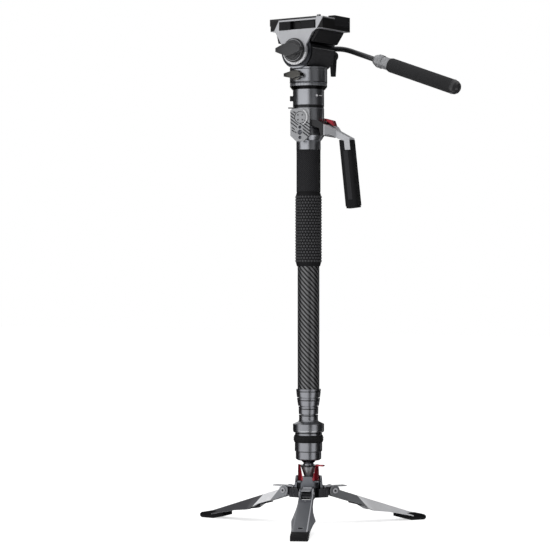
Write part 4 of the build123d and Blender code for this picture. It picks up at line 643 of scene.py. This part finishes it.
nodeFinishes = {
    "gunmetal": ["head_neck", "head_base", "clamp_body"],
    "drumMetal": ["turret_drum"],
    "collarMetal": ["base_lower_shell", "base_cap", "tube_4_ferrule", "collar_1", "collar_2", "collar_3",
                    "tube_2", "tube_3", "tube_4"],
    "legLeft": ["leg_2"],
    "legRight": ["leg_1"],
    "legFront": ["leg_3"],
    "legMetal": ["leg_latch_1", "leg_latch_2", "leg_latch_3"],
    "hubMetal": ["foot_hub"],
    "cradleMetal": ["tilt_cradle"],
    "dragRing": ["pan_drag_ring"],
    "accessoryPlate": ["accessory_plate"],
    "yokeMetal": ["handle_yoke"],
    "plateMetal": ["ball_cup", "pan_bar_lock_nut", "pivot_discs"],
    "blackMetal": ["head_lock_ring", "ball_retaining_ring", "tilt_drag_dial"],
    "rodSteel": ["pan_bar_rod"],
    "redMetal": ["tilt_lock_cage"],
    "polishedSteel": ["ball_stem"],
    "turnedSteel": ["leg_hinge_pins", "camera_screw"],
    "carbonTwill": ["tube_1"],
    "blackPlastic": ["platform_black_trim", "damper_rotor", "plate_release_button"],
    "bearingPlastic": ["ball_seat_liner", "tube_1_collet", "tube_2_bushes", "tube_3_bushes", "tube_4_bush"],
    "blackRubber": ["base_rubber_ring", "lower_grip", "handle_grip"],
    "upperGripRubber": ["upper_grip"],
    "barGrip": ["pan_bar_grip"],
    "coverPlastic": ["drum_cover"],
    "cameraPlate": ["camera_plate"],
}


def finishNode(name, finish):
    data = nodes[name].data
    data.materials.clear()
    data.materials.append(finishes[finish])


for finish, names in nodeFinishes.items():
    for name in names:
        finishNode(name, finish)
print("CAD nodes finished")


# Pieces
def addPiece(name, mesh, body, finish, slotName, smooth=None):
    data = bpy.data.meshes.new(name)
    mesh.to_mesh(data)
    mesh.free()
    data.materials.append(finishes[finish])
    if smooth is not None:
        data.shade_smooth()
        data.set_sharp_from_angle(angle=radians(smooth))
    piece = bpy.data.objects.new(name, data)
    scene.collection.objects.link(piece)
    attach(piece, body)
    return piece


def bevelEdges(mesh, edges, width, segments=2):
    bmesh.ops.bevel(
        mesh, geom=edges, offset=width, offset_type="OFFSET", affect="EDGES",
        segments=segments, profile=0.5, material=-1, clamp_overlap=True,
    )


def sharpEdges(mesh, angle=30):
    return [edge for edge in mesh.edges if edge.is_manifold and edge.calc_face_angle() > radians(angle)]


# Moulded and cast pieces get real rounded edges on a merged copy of their CAD mesh
roundShading = 40
softWork = {"merge": 1e-6, "flat": 1}
softPieces = {
    "tilt_lock_knob": ("softTiltKnob", "tilt_knob", "knobGrey", "black_plastic", 0.0011),
    "pan_lock_knob": ("softPanKnob", "pan_knob", "darkSteel", "black_plastic", 0.0011),
    "handle_trigger": ("softTrigger", "trigger", "redMetal", "red_anodised", 0.0004),
    "rosette_lever": ("softRosetteLever", "bar_lever", "blackPlastic", "black_plastic", 0.0009),
    "neck_release_button": ("softNeckButton", "release_button", "blackPlastic", "black_plastic", 0.0008),
    "plate_lock_lever": ("softPlateLever", "plate_lever", "blackPlastic", "black_plastic", 0.0006),
    "leg_rubbers_1": ("softRubbersFrontOne", "leg_1_arm", "blackRubber", "black_rubber", 0.0013),
    "leg_rubbers_2": ("softRubbersTwo", "leg_2_arm", "blackRubber", "black_rubber", 0.0013),
    "leg_rubbers_3": ("softRubbersThree", "leg_3_arm", "blackRubber", "black_rubber", 0.0013),
}


def softenNode(nodeName):
    pieceName, body, finish, slotName, width = softPieces[nodeName]
    mesh = bmesh.new()
    mesh.from_mesh(nodes[nodeName].data)
    bmesh.ops.remove_doubles(mesh, verts=mesh.verts, dist=softWork["merge"])
    bmesh.ops.dissolve_limit(mesh, angle_limit=radians(softWork["flat"]), verts=mesh.verts, edges=mesh.edges)
    bevelEdges(mesh, sharpEdges(mesh), width)
    piece = addPiece(pieceName, mesh, body, finish, slotName, roundShading)
    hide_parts(nodeName)


for nodeName in softPieces:
    softenNode(nodeName)
print("soft edges cut")


def sectionLoop(mesh, inner, outer, low, high):
    corners = [(inner, low), (outer, low), (outer, high), (inner, high)]
    return [mesh.verts.new((radius, 0, height)) for radius, height in corners]


def ringBand(mesh, inner, outer, low, high, steps=72, merge=1e-7):
    verts = sectionLoop(mesh, inner, outer, low, high)
    edges = [mesh.edges.new((verts[i], verts[(i + 1) % 4])) for i in range(4)]
    bmesh.ops.spin(
        mesh, geom=verts + edges, axis=(0, 0, 1), cent=(0, 0, 0), steps=steps, angle=2 * pi, use_merge=True
    )
    bmesh.ops.remove_doubles(mesh, verts=mesh.verts, dist=merge)


def closeRing(mesh, place):
    bmesh.ops.transform(mesh, matrix=place, verts=mesh.verts)
    bmesh.ops.recalc_face_normals(mesh, faces=mesh.faces)


def addBox(mesh, size, place, bevel=0.0):
    made = bmesh.ops.create_cube(mesh, size=1.0)
    bmesh.ops.scale(mesh, vec=size, verts=made["verts"])
    if bevel:
        edges = list({edge for vert in made["verts"] for edge in vert.link_edges})
        before = set(mesh.verts) - set(made["verts"])
        bevelEdges(mesh, edges, bevel)
        made["verts"] = [vert for vert in mesh.verts if vert not in before]
    bmesh.ops.transform(mesh, matrix=place, verts=made["verts"])


def addDisc(mesh, sides, radius, depth, place, top=None):
    bmesh.ops.create_cone(
        mesh, cap_ends=True, segments=sides, radius1=radius, radius2=radius if top is None else top,
        depth=depth, matrix=place,
    )


facingOut = Matrix.Rotation(pi / 2, 4, "Y")  # a disc's axis from Z to X
facingSide = Matrix.Rotation(pi / 2, 4, "X")  # a disc's axis from Z to -Y


# Lower grip: rows of low six-sided dots, painted lighter than the grip as a painted highlight
gripDots = {"low": 0.4225, "high": 0.5245, "rows": 23, "perRow": 26, "sides": 6, "radius": 0.0205,
            "sunk": 0.0001, "rise": 0.0008, "foot": 0.0021, "crown": 0.0013}


def addGripDots():
    mesh = bmesh.new()
    rowStep = (gripDots["high"] - gripDots["low"]) / (gripDots["rows"] - 1)
    depth = gripDots["rise"] + gripDots["sunk"]
    middle = gripDots["radius"] + gripDots["rise"] / 2 - gripDots["sunk"]
    for row in range(gripDots["rows"]):
        height = gripDots["low"] + row * rowStep
        for place in range(gripDots["perRow"]):
            angle = 2 * pi * (place + 0.5 * (row % 2)) / gripDots["perRow"]
            stand = Matrix.Rotation(angle, 4, "Z") @ Matrix.Translation((middle, 0, height))
            addDisc(mesh, gripDots["sides"], gripDots["foot"], depth, stand @ facingOut, gripDots["crown"])
    addPiece("lowerGripDots", mesh, "upper_column", "dotRubberWithSheen", "black_rubber")


addGripDots()
print("lower grip dots added")


# Turned bands: body, trim, inner and outer radius, low and high, and the place that carries each
trims = {"black": ("blackMetal", "black_anodised"), "steel": ("polishedSteel", "silver_anodised"),
         "silver": ("plateMetal", "silver_anodised")}
bands = {
    "headBaseBand": ("upper_column", "black", 0.0299, 0.03012, 0.7065, 0.7079, upright),
    "collarBandOne": ("twist_collar_1", "black", 0.0191, 0.0194, 0.2131, 0.2145, upright),
    "collarBandTwo": ("twist_collar_2", "black", 0.0176, 0.0179, 0.199, 0.2004, upright),
    "collarBandThree": ("twist_collar_3", "black", 0.01525, 0.01555, 0.18535, 0.18675, upright),
    "ferruleBand": ("lower_column", "black", 0.0152, 0.01545, 0.1745, 0.1759, upright),
    "shellBand": ("lower_column", "black", 0.01985, 0.0204, 0.1175, 0.1185, upright),
    "trimBand": ("lower_column", "black", 0.02075, 0.0213, 0.147, 0.149, upright),
    "neckFootBand": ("upper_column", "black", 0.0249, 0.0251, 0.6695, 0.6712, upright),
    "baseCapBand": ("lower_column", "steel", 0.0249, 0.02508, 0.1512, 0.1518, upright),
    "dialFaceBand": ("drag_dial", "silver", 0.0162, 0.0172, 0.0444, 0.0448, tiltFront),
    "barNutBand": ("bar_nut", "steel", 0.0094, 0.01065, 0.0072, 0.0078, barPlace),
    "barGripBand": ("bar_grip", "black", 0.0105, 0.0117, 0.1515, 0.1527, barPlace),
}


def addBand(name):
    body, trim, inner, outer, low, high, place = bands[name]
    mesh = bmesh.new()
    ringBand(mesh, inner, outer, low, high)
    closeRing(mesh, place)
    addPiece(name, mesh, body, *trims[trim], roundShading)


for name in bands:
    addBand(name)
print("bands added:", len(bands))


# Ribs round the dial and the bar's lock nut: body, trim, count, radius, size of a rib, middle and place
ribRows = {
    "dialRibs": ("drag_dial", "black", 44, 0.0185, (0.0009, 0.0012, 0.0038), 0.0421, tiltFront),
    "barNutRibs": ("bar_nut", "silver", 30, 0.0105, (0.0007, 0.0009, 0.0066), 0.0121, barPlace),
    "barNutEndRibs": ("bar_nut", "silver", 24, 0.0096, (0.0005, 0.0008, 0.008), 0.0235, barPlace),
}


def addRibs(name):
    body, trim, count, radius, size, middle, place = ribRows[name]
    mesh = bmesh.new()
    for index in range(count):
        stand = Matrix.Rotation(2 * pi * index / count, 4, "Z") @ Matrix.Translation((radius, 0, middle))
        addBox(mesh, size, place @ stand)
    addPiece(name, mesh, body, *trims[trim])


for name in ribRows:
    addRibs(name)
print("ribs added")


# Side handle: rubber strips let into its grip
handleStrips = {"gripReach": 0.0665, "gripTop": 0.613, "lean": 6.15, "middle": 0.558, "side": 0.011,
                "size": (0.0075, 0.0008, 0.078), "edge": 0.0003}


def addHandleStrips():
    drop = handleStrips["gripTop"] - handleStrips["middle"]
    reach = handleStrips["gripReach"] + drop * tan(radians(handleStrips["lean"]))
    lean = Matrix.Rotation(radians(-handleStrips["lean"]), 4, "Y")
    for name, side in (("handleStripFront", -1), ("handleStripBack", 1)):
        mesh = bmesh.new()
        stand = Matrix.Translation((reach, side * handleStrips["side"], handleStrips["middle"]))
        addBox(mesh, handleStrips["size"], handlePlace @ stand @ lean, handleStrips["edge"])
        addPiece(name, mesh, "side_handle", "stripRubber", "black_rubber")


# Accessory plate: a painted highlight as a pale crescent round the disc, and two dark stripes
plateFace = -0.035
crescent = {"inner": 0.0121, "outer": 0.0134, "low": 0.0015, "high": 0.0018, "start": -60, "angle": 120,
            "steps": 24}
stripes = {"across": -0.0115, "heights": (0.6285, 0.6325), "size": (0.0062, 0.0005, 0.0016), "turn": 35,
           "edge": 0.0002}


def addPlateMarks():
    mesh = bmesh.new()
    verts = sectionLoop(mesh, crescent["inner"], crescent["outer"], crescent["low"], crescent["high"])
    start = mesh.faces.new(verts)
    turn = Matrix.Rotation(radians(crescent["start"]), 3, "Z")
    bmesh.ops.rotate(mesh, cent=(0, 0, 0), matrix=turn, verts=verts)
    angle = radians(crescent["angle"])
    bmesh.ops.spin(
        mesh, geom=[start], axis=(0, 0, 1), cent=(0, 0, 0), steps=crescent["steps"], angle=angle
    )
    closeRing(mesh, handlePlace @ Matrix.Translation((0, plateFace, handlePivot)) @ facingSide)
    # The pale crescent is a painted highlight on the disc's edge
    addPiece("plateCrescentHighlight", mesh, "upper_column", "printAndHighlightWhite", "silver_anodised", roundShading)

    mesh = bmesh.new()
    slant = Matrix.Rotation(radians(stripes["turn"]), 4, "Y")
    for height in stripes["heights"]:
        stand = handlePlace @ Matrix.Translation((stripes["across"], plateFace, height))
        addBox(mesh, stripes["size"], stand @ slant, stripes["edge"])
    addPiece("plateStripes", mesh, "upper_column", "blackPlastic", "black_plastic")


# Pivot discs: four screw sockets in each
discScrews = {"count": 4, "start": 45, "reach": 0.0054, "face": 0.03315, "radius": 0.0009, "depth": 0.0006,
              "sides": 6}


def addDiscScrews():
    mesh = bmesh.new()
    for side in (-1, 1):
        for index in range(discScrews["count"]):
            angle = radians(discScrews["start"]) + 2 * pi * index / discScrews["count"]
            across = discScrews["reach"] * cos(angle)
            height = handlePivot + discScrews["reach"] * sin(angle)
            stand = handlePlace @ Matrix.Translation((across, side * discScrews["face"], height)) @ facingSide
            addDisc(mesh, discScrews["sides"], discScrews["radius"], discScrews["depth"], stand)
    addPiece("discScrewSockets", mesh, "upper_column", "blackMetal", "black_anodised")


# Neck: a plain index dot and line
neckMarks = {"radius": 0.02495, "height": 0.6856, "dotTurn": -24, "dotSides": 20, "dotRadius": 0.0018,
             "dotDepth": 0.0004, "lineTurn": -6, "lineSunk": 0.0007, "lineSize": (0.0018, 0.0075, 0.0009)}


def neckPlace(turn, reach):
    return Matrix.Rotation(radians(turn), 4, "Z") @ Matrix.Translation((reach, 0, neckMarks["height"]))


def addNeckMarks():
    mesh = bmesh.new()
    dot = neckPlace(neckMarks["dotTurn"], neckMarks["radius"]) @ facingOut
    addDisc(mesh, neckMarks["dotSides"], neckMarks["dotRadius"], neckMarks["dotDepth"], dot)
    line = neckPlace(neckMarks["lineTurn"], neckMarks["radius"] - neckMarks["lineSunk"])
    addBox(mesh, neckMarks["lineSize"], line)
    addPiece("neckIndexMarks", mesh, "upper_column", "printAndHighlightWhite", "silver_anodised")


addHandleStrips()
addPlateMarks()
addDiscScrews()
addNeckMarks()
print("handle, plate and neck details added")


# Foot: hexagon sockets in the hinge pins and dark pads in the legs' hollows
foot = {"angles": (60, 180, 300), "pinReach": 0.042, "pinHeight": 0.054, "slope": 17.66}
pinSocket = {"face": 0.01245, "sides": 6, "radius": 0.0022, "depth": 0.0002}
legPad = {"reach": 0.136, "height": 0.0018, "sides": 28, "radius": 0.0028, "top": 0.0024, "depth": 0.0006,
          "stretch": 1.4}


def addFootDetails():
    sockets = bmesh.new()
    for number, angle in enumerate(foot["angles"], 1):
        turn = Matrix.Rotation(radians(angle), 4, "Z")
        for side in (-1, 1):
            stand = turn @ Matrix.Translation((foot["pinReach"], side * pinSocket["face"], foot["pinHeight"]))
            addDisc(sockets, pinSocket["sides"], pinSocket["radius"], pinSocket["depth"], stand @ facingSide)
        mesh = bmesh.new()
        hinge = turn @ Matrix.Translation((foot["pinReach"], 0, foot["pinHeight"]))
        down = hinge @ Matrix.Rotation(radians(foot["slope"]), 4, "Y")
        stand = down @ Matrix.Translation((legPad["reach"], 0, legPad["height"]))
        oval = Matrix.Diagonal((1.0, legPad["stretch"], 1.0, 1.0))
        addDisc(mesh, legPad["sides"], legPad["radius"], legPad["depth"], stand @ oval, legPad["top"])
        addPiece(f"legPad{number}", mesh, f"leg_{number}_arm", "blackRubber", "black_rubber", roundShading)
    addPiece("pinSockets", sockets, "foot", "blackMetal", "black_anodised")


addFootDetails()
print("foot details added")


# Head: ridges on the plate button and a painted highlight strip along the drum cover's edge
buttonRidges = {"count": 7, "start": -0.0262, "step": 0.0027, "face": -0.0405, "middle": 0.79575,
                "size": (0.0012, 0.0008, 0.0105), "edge": 0.0002}
coverHighlightStrip = {"radius": 0.029, "rise": 0.0035, "size": (0.0009, 0.0618, 0.0009), "edge": 0.0002}


def addHeadDetails():
    mesh = bmesh.new()
    for index in range(buttonRidges["count"]):
        across = buttonRidges["start"] + index * buttonRidges["step"]
        stand = Matrix.Translation((across, buttonRidges["face"], buttonRidges["middle"]))
        addBox(mesh, buttonRidges["size"], stand, buttonRidges["edge"])
    addPiece("plateButtonRidges", mesh, "plate_button", "blackPlastic", "black_plastic")

    mesh = bmesh.new()
    # A painted highlight: a pale strip along the drum cover's top edge
    stand = Matrix.Translation((coverHighlightStrip["radius"], 0, tiltHeight + coverHighlightStrip["rise"]))
    addBox(mesh, coverHighlightStrip["size"], stand, coverHighlightStrip["edge"])
    addPiece("drumCoverHighlightStrip", mesh, "turret", "plateMetal", "silver_anodised")


addHeadDetails()
print("head details added")


# Studio: floor, world, soft lamps, and dark flags that only reflections see
studio = {"floorHalf": 9.0, "floorColor": (0.86, 0.86, 0.86), "floorRough": 0.9, "floorLift": 0.6,
          "worldLevel": 0.5, "lampAim": (0, 0, 0.45)}
lamps = {
    "keySoftbox": {"turn": -60, "distance": 2.2, "height": 0.9, "size": (1.1, 1.9), "power": 15.0},
    "fillSoftbox": {"turn": 66, "distance": 2.8, "height": 1.2, "size": (0.3, 1.6), "power": 3.0},
    "topSoftbox": {"turn": 0, "distance": 0.7, "height": 2.4, "size": (1.4, 1.4), "power": 14.0},
}
flags = {
    "leftFlag": {"turn": -124, "spread": 78, "glow": 0.02, "low": 0.004},
    "frontFlag": {"turn": 12, "spread": 22, "glow": 0.05, "low": 0.004},
    "sideFlag": {"turn": 42, "spread": 38, "glow": 0.2, "low": 0.4},
    "rightFlag": {"turn": 94, "spread": 66, "glow": 0.02, "low": 0.004},
    "backFlag": {"turn": 154, "spread": 46, "glow": 0.02, "low": 0.004},
}
flagCloth = {"distance": 0.95, "high": 1.5, "wedge": 0.004, "color": (0.01, 0.01, 0.01)}


# A place round the object, counted from the camera's side towards its right
def studioPlace(turn, distance, height):
    angle = radians(cameraView["turn"] + turn)
    return Vector((sin(angle) * distance, -cos(angle) * distance, height))


def seenDirectly(tree):
    path = put(tree, "LightPath").outputs
    through = either(tree, path["Is Glossy Ray"], path["Is Transmission Ray"])
    return either(tree, path["Is Camera Ray"], through)


def stageMaterial(name, color):
    material = bpy.data.materials.new(name)
    material.use_nodes = True
    shader = material.node_tree.nodes["Principled BSDF"]
    shader.inputs["Base Color"].default_value = opaque(color)
    shader.inputs["Specular IOR Level"].default_value = 0.0
    shader.inputs["Emission Color"].default_value = (1, 1, 1, 1)
    return material, shader


def addStage(name, mesh, material):
    data = bpy.data.meshes.new(name)
    mesh.to_mesh(data)
    mesh.free()
    data.materials.append(material)
    piece = bpy.data.objects.new(name, data)
    scene.collection.objects.link(piece)
    return piece


def addFloor():
    material, shader = stageMaterial("paleFloor", studio["floorColor"])
    tree = material.node_tree
    shader.inputs["Roughness"].default_value = studio["floorRough"]
    lift = calc(tree, "MULTIPLY", seenDirectly(tree), studio["floorLift"])
    tree.links.new(lift, shader.inputs["Emission Strength"])
    mesh = bmesh.new()
    bmesh.ops.create_grid(mesh, x_segments=1, y_segments=1, size=studio["floorHalf"])
    addStage("paleFloor", mesh, material)


def setWorld():
    world = bpy.data.worlds.new("paleStudio")
    scene.world = world
    world.use_nodes = True
    tree = world.node_tree
    background = tree.nodes["Background"]
    background.inputs["Color"].default_value = (1, 1, 1, 1)
    level = studio["worldLevel"]
    strength = calc(tree, "MULTIPLY_ADD", seenDirectly(tree), 1.0 - level, level)
    tree.links.new(strength, background.inputs["Strength"])


def addLamp(name, lamp):
    light = bpy.data.lights.new(name, "AREA")
    light.shape = "RECTANGLE"
    light.size, light.size_y = lamp["size"]
    light.energy = lamp["power"]
    holder = bpy.data.objects.new(name, light)
    holder.location = studioPlace(lamp["turn"], lamp["distance"], lamp["height"])
    aim = Vector(studio["lampAim"]) - holder.location
    holder.rotation_euler = aim.to_track_quat("-Z", "Y").to_euler()
    holder.visible_glossy = False  # the flags shape the reflections, not the lamps
    scene.collection.objects.link(holder)


def addFlag(name, flag):  # a standing cloth, and one on the floor from its foot to the object
    material, shader = stageMaterial(name, flagCloth["color"])
    shader.inputs["Emission Strength"].default_value = flag["glow"]
    mesh = bmesh.new()
    sides = [flag["turn"] + side * flag["spread"] / 2 for side in (-1, 1)]
    reach = flagCloth["distance"] / cos(radians(flag["spread"] / 2))
    bottom = [mesh.verts.new(studioPlace(side, reach, flag["low"])) for side in sides]
    top = [mesh.verts.new(studioPlace(side, reach, flagCloth["high"])) for side in reversed(sides)]
    mesh.faces.new(bottom + top)
    if flag["low"] <= flagCloth["wedge"]:
        mesh.faces.new([mesh.verts.new((0, 0, flagCloth["wedge"])), bottom[1], bottom[0]])
    cloth = addStage(name, mesh, material)
    cloth.visible_camera = cloth.visible_diffuse = cloth.visible_shadow = cloth.visible_transmission = False


addFloor()
setWorld()
for name, lamp in lamps.items():
    addLamp(name, lamp)
for name, flag in flags.items():
    addFlag(name, flag)
print("studio set")
